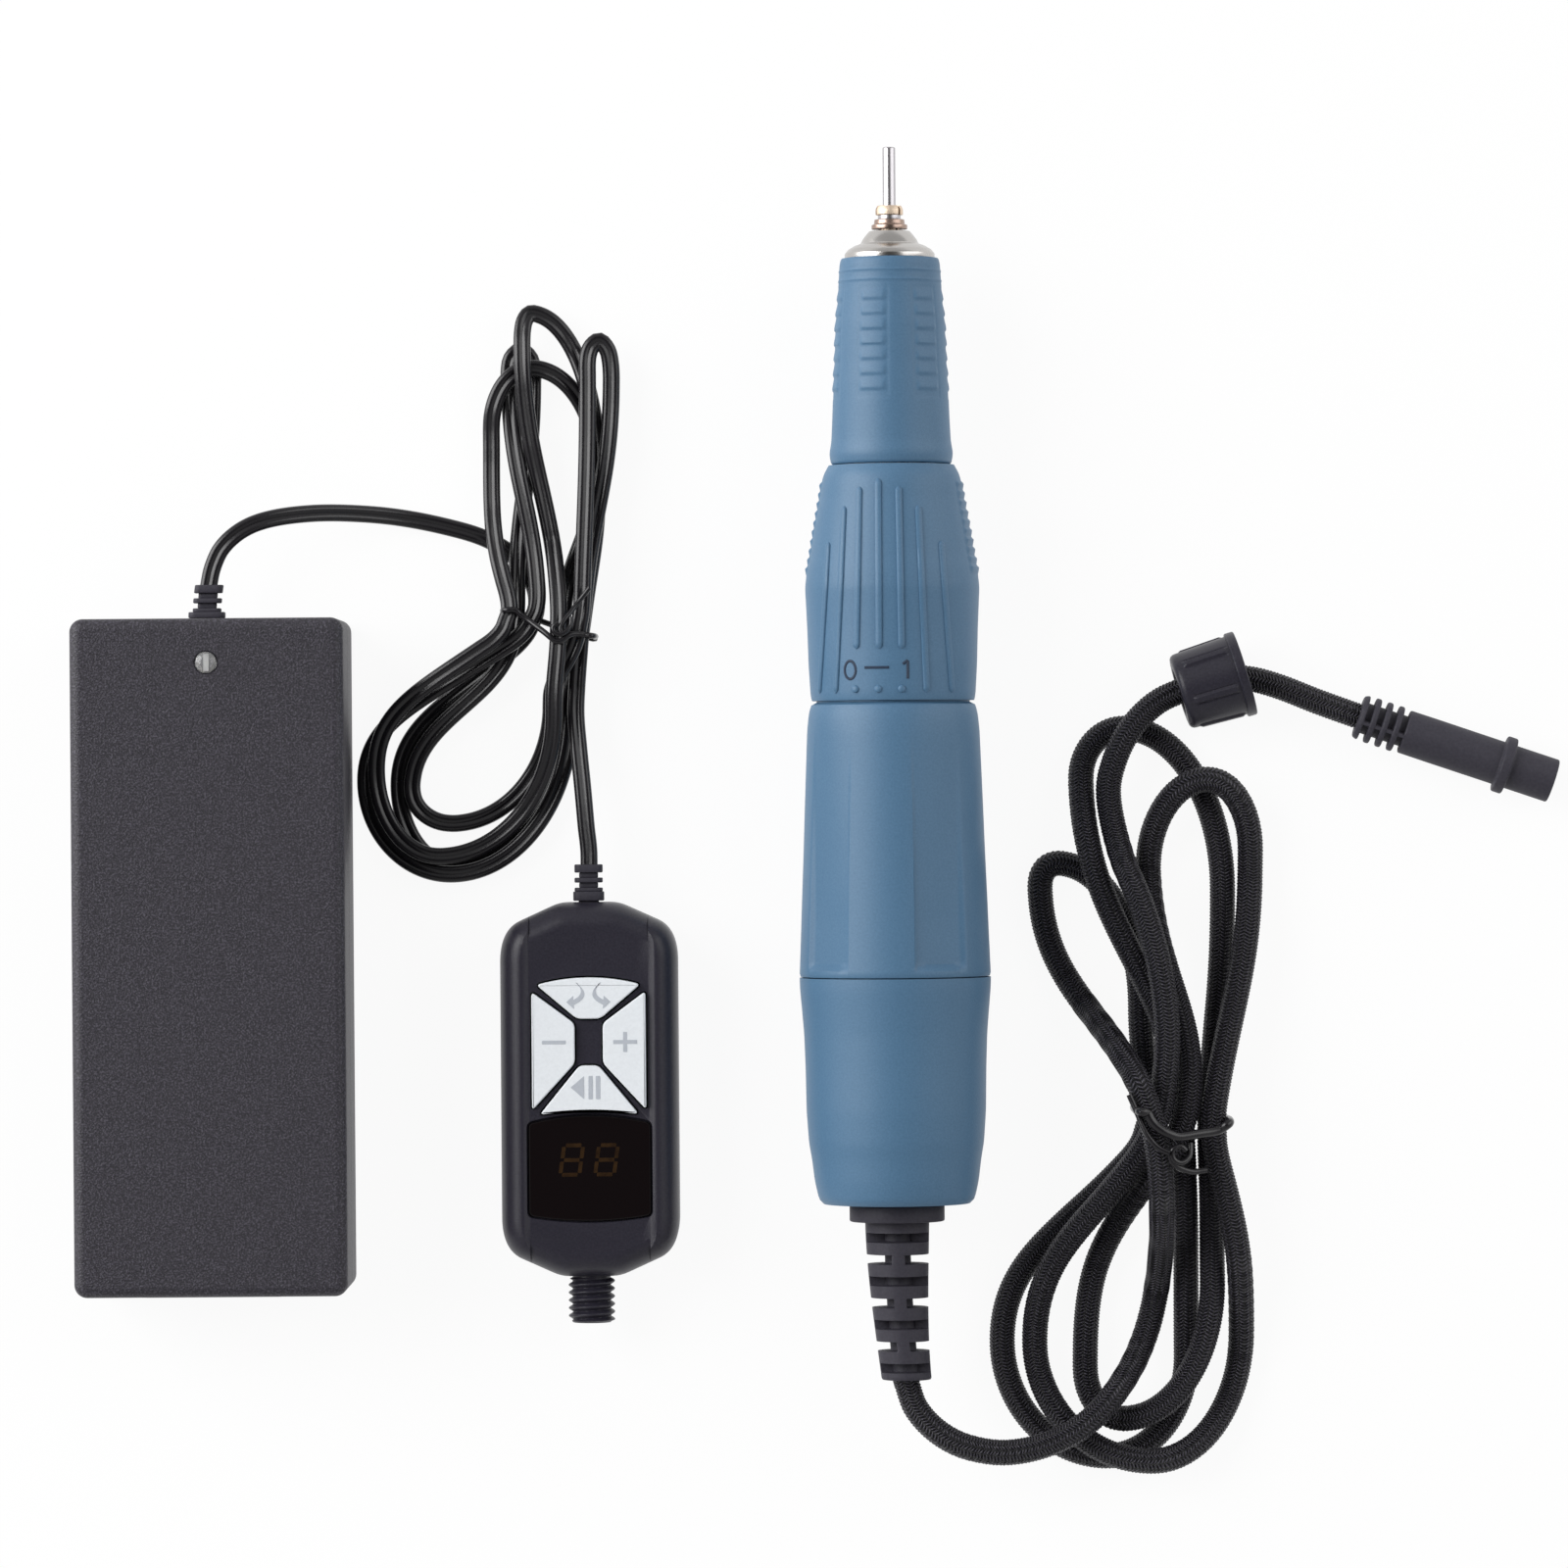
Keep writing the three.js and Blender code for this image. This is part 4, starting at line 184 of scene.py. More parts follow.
def woven(name):
    """Columns of slanted stitches that lean against the next, with painted shade in the gaps and a painted
    highlight on the stitch tops. U runs round, and V along in millimetres.
    """
    paint = Paint(name, (20, 18, 22), 0.45, specular=0.5)
    tree = paint.tree
    split = tree.nodes.new("ShaderNodeSeparateXYZ")
    tree.links.new(tree.nodes.new("ShaderNodeTexCoord").outputs["UV"], split.inputs["Vector"])

    def math_node(operation, first, second=0):
        node = tree.nodes.new("ShaderNodeMath")
        node.operation = operation
        for socket, value in zip(node.inputs, (first, second)):
            if isinstance(value, (int, float)):
                socket.default_value = value
            else:
                tree.links.new(value, socket)
        return node.outputs["Value"]

    def rounded_back(value, fall):
        """1 in the middle of each repeat, and less by the fall at its borders."""
        off = math_node("SUBTRACT", math_node("FRACT", value), 0.5)
        return math_node("SUBTRACT", 1, math_node("MULTIPLY", math_node("MULTIPLY", off, off), 4 * fall))

    column = math_node("MULTIPLY", split.outputs["X"], BRAID_COLUMNS)
    lean = math_node("MULTIPLY", math_node("PINGPONG", column, 1), BRAID_SLANT)
    stitch = math_node("ADD", math_node("MULTIPLY", split.outputs["Y"], 1 / BRAID_PITCH), lean)
    height = math_node("MULTIPLY", rounded_back(stitch, 1), rounded_back(column, 0.4))
    # Painted shade and highlight: the colour darkens into the gaps between stitches and brightens on the
    # stitch tops.
    paint.tint(height, [(0.2, (2, 2, 3)), (0.6, (17, 15, 20)), (1, (66, 63, 74))])
    return paint.bump(height, 0.5)


def make_paints():
    speckled = Paint("speckled_black", (62, 60, 67), 0.5, specular=0.45)
    grain = speckled.noise(0.34, 2)
    speckled.tint(grain, [(0.36, (30, 28, 35)), (0.52, (46, 43, 51)), (0.68, (75, 72, 82))])
    window = Paint("dark_window", (18, 13, 14), 0.07)
    cord = Paint("cord_black", (21, 19, 23), 0.26)
    digit = Paint("dim_digit", (46, 32, 20), 0.1)
    clear = Paint("clear_lens", (236, 238, 242), 0.06)
    clear.set("Transmission Weight", 0.85).set("IOR", 1.49)
    board = Paint("board_green", (46, 92, 60), 0.45)
    return {
        "steel": ground_metal("steel", (182, 180, 182), 0.2, (4, 0.2, 4), 0.002),
        "brass": ground_metal("brass", (232, 212, 190), 0.5, (1, 6, 1), 0.006),
        "polished_nose": cloudy_metal("chrome", (192, 189, 186), 0.24, 1.6, 3, 0.18, 0.32),
        "polished_steel": cloudy_metal("polished_steel", (186, 183, 186), 0.3, 2, 2, 0.27, 0.34),
        "bronzed": cloudy_metal("bronzed_steel", (168, 146, 134), 0.28, 0.8, 3, 0.2, 0.36),
        "blue_metal": moulded("satin_blue", (75, 111, 141), 0.48, 0.22, 0.025, 4, 0.45),
        # Painted shade: the dark blue of the ring marks stands in for the shade inside engraved grooves.
        "blue_mark": moulded("satin_blue_groove_shade", (27, 45, 68), 0.6, 0.22, 0.02, 3),
        "white_plastic": moulded("white_plastic", (214, 212, 206), 0.5, 0.3, 0.01),
        "black_plastic": speckled.bump(grain, 0.14),
        "black_gloss": moulded("shell_black", (40, 38, 48), 0.38, 0.24, 0.03, 5, 0.36),
        "light_key": moulded("key_grey", (232, 236, 240), 0.42, 0.3, 0.01, 3),
        "key_symbol": moulded("key_symbol", (184, 189, 197), 0.35, 0.3, 0.01, 3),
        "dark_window": window.vary(window.noise(9, 2), 0.05, 0.1),
        "digit": digit.mottle(digit.noise(1.5, 2), (38, 26, 17), (54, 38, 22)),
        "clear_plastic": clear.bump(clear.noise(1.5, 1), 0.01, 0.5),
        "board": board.mottle(board.noise(0.9, 2), (40, 84, 54), (58, 108, 70)),
        "dark_rubber": moulded("rubber_black", (53, 51, 60), 0.6, 0.3, 0.03, 4, 0.35),
        "black_cord": cord.bump(cord.noise(1.2, 2), 0.015).vary(cord.noise(5, 2), 0.2, 0.34),
        "braid": woven("braid_black"),
    }


MATERIALS = {slot: paint.material for slot, paint in make_paints().items()}
for part in frame["record"]["subparts"]:
    node = frame["nodes"][part["node"]]
    node.data.materials.clear()
    node.data.materials.append(MATERIALS[part["material_slot"]])

# Mesh tools


def new_piece(name, verts, faces, replaced=(), body="set", slot=None, place=None, smooth=35, look=None):
    """A piece from millimetre vertices, moved by a placing matrix, with crisp edges above an angle."""
    mesh = bpy.data.meshes.new(name)
    where = place or Matrix()
    mesh.from_pydata([(where @ Vector(v)) * MM for v in verts], [], faces)
    made = bmesh.new()
    made.from_mesh(mesh)
    bmesh.ops.recalc_face_normals(made, faces=made.faces)
    made.to_mesh(mesh)
    made.free()
    finish_mesh(mesh, smooth)
    mesh.materials.append(MATERIALS[look or slot])
    piece = bpy.data.objects.new(name, mesh)
    scene.collection.objects.link(piece)
    if body:
        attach(piece, body)
    if replaced:
        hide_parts(*replaced)
    return piece


def finish_mesh(mesh, smooth=35):
    mesh.polygons.foreach_set("use_smooth", [True] * len(mesh.polygons))
    mesh.set_sharp_from_angle(angle=math.radians(smooth))


def carve(piece, cutters):
    """Cuts the cutter objects out of a piece and deletes them."""
    for tool in cutters:
        modifier = piece.modifiers.new("carve", "BOOLEAN")
        modifier.operation = "DIFFERENCE"
        modifier.solver = "EXACT"
        modifier.object = tool
    graph = bpy.context.evaluated_depsgraph_get()
    mesh = bpy.data.meshes.new_from_object(piece.evaluated_get(graph))
    piece.modifiers.clear()
    piece.data = mesh
    for tool in cutters:
        bpy.data.objects.remove(tool)
    finish_mesh(mesh)


def loft(loops):
    """A closed skin through loops of equally many points, with flat ends."""
    count = len(loops[0])
    verts = [p for loop in loops for p in loop]
    last = (len(loops) - 1) * count
    faces = [tuple(reversed(range(count))), tuple(range(last, last + count))]
    for row in range(len(loops) - 1):
        for k in range(count):
            a, b = row * count + k, row * count + (k + 1) % count
            faces.append((a, b, b + count, a + count))
    return verts, faces


def around(count):
    return [2 * math.pi * k / count for k in range(count)]


def lathe(profile, sides, relief=None):
    """A surface round local Y through rows of radius and place. A row of radius 0 is a pole."""
    verts, rows, faces = [], [], []
    for radius, along in profile:
        if radius == 0:
            rows.append([len(verts)] * sides)
            verts.append((0, along, 0))
            continue
        rows.append(list(range(len(verts), len(verts) + sides)))
        for a in around(sides):
            r = relief(a, along, radius) if relief else radius
            verts.append((r * math.sin(a), along, r * math.cos(a)))
    pairs = list(zip(rows, rows[1:]))
    if profile[0][0] > 0:
        pairs.append((rows[-1], rows[0]))
    for low, high in pairs:
        for k in range(sides):
            n = (k + 1) % sides
            unique = tuple(dict.fromkeys((low[k], low[n], high[n], high[k])))
            if len(unique) > 2:
                faces.append(unique)
    return verts, faces


def curve_through(shares, start, length, radius, spacing, ease, rim=0):
    """Rows of radius and place from a table of shares, with its bends eased and its first row drawn in."""
    places = [start + length * share for share, _ in shares]
    radii = [radius * share for _, share in shares]

    def straight(along):
        i = min(max(bisect.bisect_right(places, along) - 1, 0), len(places) - 2)
        part = (along - places[i]) / (places[i + 1] - places[i])
        return radii[i] + (radii[i + 1] - radii[i]) * part

    def smooth(along):
        reach = min(ease, along - places[0], places[-1] - along)
        return sum(straight(along + reach * k / 4) for k in range(-4, 5)) / 9

    count = max(2, round(length / spacing))
    rows = [(smooth(y), y) for y in (places[0] + length * k / count for k in range(count + 1))]
    return [(rows[0][0] - rim, rows[0][1]), *rows[1:]]


def bend(start, corner, end, steps):
    """A soft bend from start to end inside a corner."""
    shares = [k / steps for k in range(steps + 1)]
    return [start * (1 - t) ** 2 + corner * 2 * t * (1 - t) + end * t * t for t in shares]


def filleted(profile, radius, steps=3):
    """Rounds the sharp corners of a profile; a corner given with a third value False is kept."""
    result = []
    last = len(profile) - 1
    for i, row in enumerate(profile):
        point = Vector(row[:2])
        if i in (0, last) or len(row) > 2:
            result.append(tuple(point))
            continue
        before = Vector(profile[i - 1][:2]) - point
        after = Vector(profile[i + 1][:2]) - point
        reach = min(radius, before.length / 2.2, after.length / 2.2)
        if reach < 0.02 or before.angle(after) > 2.9:
            result.append(tuple(point))
            continue
        enter = point + before.normalized() * reach
        leave = point + after.normalized() * reach
        result += [tuple(spot) for spot in bend(enter, point, leave, steps)]
    return result


def smoothstep(t):
    t = min(max(t, 0), 1)
    return t * t * (3 - 2 * t)


def within(value, low, high, rise, fall):
    """1 between two bounds and 0 outside them, with soft edges of those widths inside the bounds."""
    return smoothstep((value - low) / rise) * smoothstep((high - value) / fall)


def ridge(distance, half, edge):
    """1 on a raised strip, and 0 past its edge, by the distance from its middle line."""
    return 1 - smoothstep((distance - half + edge) / edge)


def rounded_rectangle(half_x, half_y, corner, steps=6):
    points = []
    for quarter, (sx, sy) in enumerate([(1, 1), (-1, 1), (-1, -1), (1, -1)]):
        for k in range(steps + 1):
            angle = math.pi / 2 * (quarter + k / steps)
            x = sx * (half_x - corner) + corner * math.cos(angle)
            points.append((x, sy * (half_y - corner) + corner * math.sin(angle)))
    return points


def inset_outline(outline, inset):
    result = []
    count = len(outline)
    for i, (x, y) in enumerate(outline):
        before, after = outline[i - 1], outline[(i + 1) % count]
        first = Vector((y - before[1], before[0] - x)).normalized()
        second = Vector((after[1] - y, x - after[0])).normalized()
        outward = first + second
        reach = inset / max(outward.length_squared / 2, 0.5)
        result.append((x - outward.x * reach, y - outward.y * reach))
    return result


def anticlockwise(outline):
    area = sum(x * outline[i - 1][1] - outline[i - 1][0] * y for i, (x, y) in enumerate(outline))
    return outline if area < 0 else list(reversed(outline))


def slab(outline, levels, rim=0.03):
    """An upright solid over an outline, drawn in by an inset at each level, with a flat rim at its ends."""
    ordered = anticlockwise(outline)
    first, last = levels[0], levels[-1]
    rows = [(first[0], first[1] + rim), *levels, (last[0], last[1] + rim)]
    return loft([[(x, y, z) for x, y in inset_outline(ordered, inset)] for z, inset in rows])


def rounded_polygon(corners, radius, steps=5):
    points = []
    for i, corner in enumerate(corners):
        point = Vector(corner)
        enter = point + (Vector(corners[i - 1]) - point).normalized() * radius
        leave = point + (Vector(corners[(i + 1) % len(corners)]) - point).normalized() * radius
        for spot in bend(enter, point, leave, steps):
            if not points or (Vector(points[-1]) - spot).length > radius / 100:
                points.append(tuple(spot))
    return points


def bowed(start, end, height, steps):
    start, end = Vector(start), Vector(end)
    away = Vector((end.y - start.y, start.x - end.x)).normalized()
    places = [k / steps for k in range(1, steps)]
    return [tuple(start.lerp(end, t) + away * height * 4 * t * (1 - t)) for t in places]


def cutter(outline, levels, place):
    """An upright solid over an outline, to cut with."""
    return new_piece("cutter", *slab(outline, levels), body=None, look="steel", place=place)


def shifted(points, x, y):
    return [(px + x, py + y) for px, py in points]


def wire(path, radius, sides=12):
    """A round wire along a smooth path."""
    loops = []
    last = len(path) - 1
    side = Vector((0.1, 0.2, 1))
    for i, point in enumerate(path):
        along = (path[min(i + 1, last)] - path[max(i - 1, 0)]).normalized()
        side = (side - along * side.dot(along)).normalized()
        across = along.cross(side)
        loops.append([point + (side * math.cos(a) + across * math.sin(a)) * radius for a in around(sides)])
    return loft(loops)


def joined(parts):
    """One set of vertices and faces from several."""
    verts, faces = [], []
    for part, part_faces in parts:
        faces += [tuple(i + len(verts) for i in face) for face in part_faces]
        verts += part
    return verts, faces


# Cords. Each runs in plan from its first fitting through a tied hank to its last.
TWIN = {"width": 3.2, "thickness": 1.7}
BRAID = {"width": 4.7, "thickness": 4.7}
BRAID_SIDES = 20
BRAID_SWELL = 0.042
HIDDEN_END = 2.6  # how far a cord runs on into the fitting that holds it
STEP = 2  # between the points of a route
SPARE = 0.75  # room between two passes, one over the other
SIDE_SPARE = 0.25  # room between two passes side by side
LIFT = 0.2  # room between a cord and the table
LEVEL = 4  # how far a cord stays at its fitting's height
FALL = 34  # how far it then takes to come down
REACH = 4  # points on each side that a height is evened over
ROUNDS = 30  # times the heights are evened
TIE_REACH = 4  # how far from the waist the tie lifts the passes
EASE_REACH = 12  # how far from the waist the bends are eased
EASE_COUNT = 3  # points on each side that they are eased over
WAIST_SHARE = 0.45  # of a lobe's leg, before its first bend
BELLY_SHARE = 0.45  # of a lobe's leg, after its second bend
ROUND_SHARE = 0.55  # how full a lobe's end is
ARC_DIVISIONS = 200

# Lobe rows: up or down, belly out, lean out, belly back, lean back, tip, ranks out and back
TWIN_ROUTE = {
    "cord": TWIN,
    "waist": (2.8, 26.3),
    "lead": [
        (-59.35, 34.4), (-58.7, 37.2), (-56.9, 40.8), (-53.4, 43.9), (-48.9, 45.8), (-42.5, 46.9),
        (-35.2, 47.2), (-26.1, 46.6), (-17, 44.9), (-8.9, 42.4), (-3.1, 38.6), (0.2, 33.8),
        (1, 29.8), (1, 26.3),
    ],
    "tail": [
        (9, 26.3), (8.5, 21.2), (8, 14.8), (7.8, 9.4), (8.3, 3), (9, -4.3), (9.6, -11.5),
        (10, -15.2), (10.05, -18.1),
    ],
    "slots": [-1.8, 2.2, -5.8, 2.2, 6.2, -1.8, -5.8, 6.2, 6.2],
    "lead_rank": 0,
    "tail_rank": 2.15,
    "lobes": [
        (False, (-28.2, -29.8), -45, (3.5, -16.4), 0, (-18.2, -44.6), (1, 2)),
        (True, (9, 29.9), 5, (-10.4, 36.4), -18, (-2.9, 47.6), (1.2, 3.1)),
        (False, (-32.2, -27), -55, (1, -16.4), -3, (-20.7, -42.9), (4, 4)),
        (True, (-4.5, 52.8), -2, (9.3, 29), 8, (-3, 57.8), (4, 2)),
        (False, (3.9, -16.4), -4, (-34.4, -28.8), -55, (-18.5, -46.2), (2.1, 3)),
        (True, (-7.1, 47.2), 0, (-2.7, 47.1), -2, (-4.9, 51.1), (3, 1.1)),
        (False, (-25.7, -30.3), -5, (0.4, -14.5), -4, (-18.3, -36.8), (2, 3.2)),
        (True, (7.6, 48.2), 2, (12, 46.3), 4, (9.9, 52.5), (5, 3)),
    ],
    "tie": 0.55,
    "start_height": 15.5,
    "end_height": 9,
    "lead_in": 12,
    "tail_in": 8,
    "props": [],
}

BRAID_ROUTE = {
    "cord": BRAID,
    "waist": (119.6, -68.8),
    "lead": [
        (68.1, -114.4), (69.7, -118.8), (73.5, -123), (78.9, -126), (86.2, -127.3), (94, -125.9),
        (101.3, -122), (107.2, -115.8), (111.6, -108.6), (114.4, -99.7), (115.4, -88.8),
        (115, -76.9), (114.3, -68.8),
    ],
    "tail": [
        (114.3, -68.8), (115.7, -60.6), (116.5, -49.7), (115.1, -37.8), (112.1, -26.9),
        (108.4, -16.9), (106.4, -6.3), (107.6, 0.4), (110.6, 6.2), (115, 10.6), (119.6, 12.9),
        (125.9, 15), (131.9, 15.3), (137.9, 13.8), (145.5, 10.8), (152.6, 8.2),
    ],
    "slots": [-5.3, -5.3, 0, 5, 0, 5, -5.3],
    "lead_rank": 4,
    "tail_rank": 3.5,
    "lobes": [
        (True, (-25.9, 46), -12, (-7.4, 23.7), -5, (-22.8, 50), (3.6, 1)),
        (False, (-33.6, -38.8), -38, (0.6, -41.8), 3, (-14.1, -60.2), (1, 1.5)),
        (True, (-18.2, 65.6), 0, (8, 45.4), 3, (-10.3, 75), (2, 2)),
        (False, (5.4, -27.3), 3, (-18.2, -44), -38, (-11.5, -53), (2, 2)),
        (True, (-5.8, 49.1), 12, (13.1, 52.6), 8, (5, 65.4), (3, 3)),
        (False, (10.8, -37.7), 14, (-27.6, -38.9), -35, (-5.9, -60.8), (3, 3)),
    ],
    "tie": 0.9,
    "start_height": 17.6,
    "end_height": 5.35,
    "lead_in": 10,
    "tail_in": 22,
    "props": [(125.5, 14.5, 6.1, 10)],
}


def mix(a, b, share):
    return tuple(x + (y - x) * share for x, y in zip(a, b))


def bezier(a, b, c, d):
    def at(t):
        ab, bc, cd = mix(a, b, t), mix(b, c, t), mix(c, d, t)
        return mix(mix(ab, bc, t), mix(bc, cd, t), t)

    return at


def on_spline(points, i, t):
    """A point on the smooth curve through points, a share t of the way past the one at i."""
    last = len(points) - 1
    spot = []
    for p0, p1, p2, p3 in zip(points[max(i - 1, 0)], points[i], points[i + 1], points[min(i + 2, last)]):
        v0, v1 = (p2 - p0) / 2, (p3 - p1) / 2
        cubic = (2 * p1 - 2 * p2 + v0 + v1) * t**3
        spot.append(cubic + (-3 * p1 + 3 * p2 - 2 * v0 - v1) * t**2 + v0 * t + p1)
    return tuple(spot)


def spline(points):
    last = len(points) - 1

    def at(t):
        i = min(int(t * last), last - 1)
        return on_spline(points, i, t * last - i)

    return at


def spaced(curve, spacing=STEP):
    """Points an even way apart along a curve, about as far apart as the spacing."""
    samples = [curve(i / ARC_DIVISIONS) for i in range(ARC_DIVISIONS + 1)]
    lengths = [0]
    for a, b in zip(samples, samples[1:]):
        lengths.append(lengths[-1] + math.dist(a, b))
    count = max(2, round(lengths[-1] / spacing))
    points = []
    for k in range(count + 1):
        target = lengths[-1] * k / count
        i = min(max(bisect.bisect_left(lengths, target) - 1, 0), ARC_DIVISIONS - 1)
        part = (target - lengths[i]) / (lengths[i + 1] - lengths[i])
        points.append(curve((i + part) / ARC_DIVISIONS))
    return points


def lobe_leg(waist, slot, lean, up, belly, tip):
    side = 1 if up else -1
    reach = WAIST_SHARE * abs(belly[1])
    slope = math.tan(math.radians(lean))

    def at(x, y):
        return (waist[0] + x, waist[1] + y)

    outward = bezier(
        at(slot, 0),
        at(slot + reach * slope, side * reach),
        at(belly[0], belly[1] * (1 - BELLY_SHARE)),
        at(*belly),
    )
    rounded = bezier(
        at(*belly),
        at(belly[0], belly[1] + ROUND_SHARE * (tip[1] - belly[1])),
        at(tip[0] + ROUND_SHARE * (belly[0] - tip[0]), tip[1]),
        at(*tip),
    )
    return outward, rounded


def plan_route(route):
    """The whole route in plan: points with their ranks, and where the hank starts and ends."""
    points = []

    def add(curve, rank, backward=False):
        line = spaced(curve)
        if backward:
            line.reverse()
        points.extend((x, y, rank) for x, y in line[1 if points else 0:])

    add(spline(route["lead"]), route["lead_rank"])
    start = len(points) - 1
    for k, (up, out, out_lean, back, back_lean, tip, ranks) in enumerate(route["lobes"]):
        out_near, out_far = lobe_leg(route["waist"], route["slots"][k], out_lean, up, out, tip)
        back_near, back_far = lobe_leg(route["waist"], route["slots"][k + 1], back_lean, up, back, tip)
        add(out_near, ranks[0])
        add(out_far, ranks[0])
        add(back_far, ranks[1], True)
        add(back_near, ranks[1], True)
    end = len(points) - 1
    add(spline(route["tail"]), route["tail_rank"])
    return eased(points, route["waist"][1]), start, end


def eased(points, waist_y):
    """Rounds the bends where the passes lean in to the waist."""
    result = []
    for i, (x, y, rank) in enumerate(points):
        share = max(0, 1 - abs(y - waist_y) / EASE_REACH)
        reach = min(EASE_COUNT, i, len(points) - 1 - i)
        near = points[i - reach:i + reach + 1]
        mean_x = sum(p[0] for p in near) / len(near)
        mean_y = sum(p[1] for p in near) / len(near)
        result.append((x + (mean_x - x) * share, y + (mean_y - y) * share, rank))
    return result


def evened(values):
    """The highest value within reach, then the mean within reach."""
    count = len(values)
    windows = [(max(0, i - REACH), min(count, i + REACH + 1)) for i in range(count)]
    highest = [max(values[a:b]) for a, b in windows]
    return [sum(highest[a:b]) / (b - a) for a, b in windows]


def lay_heights(route, points, start, end):
    width, thickness = route["cord"]["width"], route["cord"]["thickness"]
    floor = thickness / 2 + LIFT
    last = len(points) - 1

    def droop(height, count):
        return floor + (height - floor) * (1 - smoothstep((count * STEP - LEVEL) / FALL))

    base = []
    for i, (x, y, _) in enumerate(points):
        tied = abs(y - route["waist"][1]) < TIE_REACH and start - REACH <= i <= end + REACH
        levels = [droop(route["start_height"], i), droop(route["end_height"], last - i)]
        levels.append(floor + (2 * route["tie"] + SPARE if tied else 0))
        levels += [z for px, py, z, reach in route["props"] if math.hypot(x - px, y - py) < reach]
        base.append(max(levels))
    pairs = []
    for i, (x, y, rank) in enumerate(points):
        for j in range(i - 2 * REACH - 1):
            share = math.hypot(x - points[j][0], y - points[j][1]) / (width + SIDE_SPARE)
            if share < 1:
                rise = (thickness + SPARE) * math.sqrt(1 - share * share)
                pairs.append((i, j, rise) if rank >= points[j][2] else (j, i, rise))
    heights = evened(base)
    for _ in range(ROUNDS):
        need = list(base)
        for over, under, rise in pairs:
            need[over] = max(need[over], heights[under] + rise)
        heights = evened(need)
    return [Vector((x, y, z)) for (x, y, _), z in zip(points, heights)]


def laid(route):
    return lay_heights(route, *plan_route(route))


def finer(path, parts):
    """More points on the smooth curve through a path."""
    spots = [Vector(on_spline(path, i, k / parts)) for i in range(len(path) - 1) for k in range(parts)]
    return [*spots, path[-1]]


def tube(path, section, relief=None):
    """A closed tube along a path whose section stays level: x across in plan, y upward."""
    loops = []
    run = 0
    for i, point in enumerate(path):
        before, after = path[max(i - 1, 0)], path[min(i + 1, len(path) - 1)]
        along = (after - before).normalized()
        across = along.cross(Vector((0, 0, 1))).normalized()
        rise = across.cross(along)
        run += (point - before).length
        scale = relief(run) if relief else 1
        loops.append([point + across * x * scale + rise * y * scale for x, y in section])
    return loft(loops)


def lengthened(path, reach):
    """The path with both ends run on into the fittings that hold them."""
    first = path[0] + (path[0] - path[1]).normalized() * reach
    last = path[-1] + (path[-1] - path[-2]).normalized() * reach
    return [first, *path, last]


def lay_uv(mesh, path, count):
    """U once round the tube, and V along it in millimetres."""
    runs = [0]
    for a, b in zip(path, path[1:]):
        runs.append(runs[-1] + (b - a).length)
    layer = mesh.uv_layers.new(name="along")
    for face in mesh.polygons:
        places = [divmod(v, count) for v in face.vertices]
        wraps = {column for _, column in places} >= {0, count - 1}
        for loop, (row, column) in zip(face.loop_indices, places):
            turned = column + (count if wraps and column == 0 else 0)
            layer.data[loop].uv = ((turned + 0.5) / count, runs[row])


def twin_section():
    """Two round cores side by side, with a shallow groove between them."""
    radius, shift = TWIN["thickness"] / 2, (TWIN["width"] - TWIN["thickness"]) / 2
    right = []
    for k in range(13):
        angle = math.radians(-126 + 252 * k / 12)
        right.append((shift + radius * math.cos(angle), radius * math.sin(angle)))
    groove = (0, 0.62 * radius)
    left = [(-x, -y) for x, y in right]
    return [*right, groove, *left, (0, -groove[1])]


def braid_section():
    radius = BRAID["width"] / 2
    angles = [2 * math.pi * (k + 0.5) / BRAID_SIDES for k in range(BRAID_SIDES)]
    return [(radius * math.cos(a), radius * math.sin(a)) for a in angles]


def braid_swell(run):
    """The braid swells a little at each stitch."""
    return 1 + BRAID_SWELL * math.cos(2 * math.pi * (run / BRAID_PITCH + BRAID_SLANT / 2 - 0.5))


def make_cord(name, path, section, parts, nodes, slot, relief=None):
    fine = lengthened(finer(path, parts), HIDDEN_END)
    verts, faces = tube(fine, section, relief)
    piece = new_piece(name, verts, faces, nodes, slot=slot, smooth=60)
    lay_uv(piece.data, fine, len(section))
    return piece


twin_path = laid(TWIN_ROUTE)
braid_path = laid(BRAID_ROUTE)
twin_cord = make_cord(
    "twin_cord", twin_path, twin_section(), 3,
    ["twin_cord_lead", "twin_cord_hank", "twin_cord_tail"], "black_cord",
)
braided_cord = make_cord(
    "braided_cord", braid_path, braid_section(), 8,
    ["braided_cord_lead", "braided_cord_hank", "braided_cord_tail"], "braid", braid_swell,
)

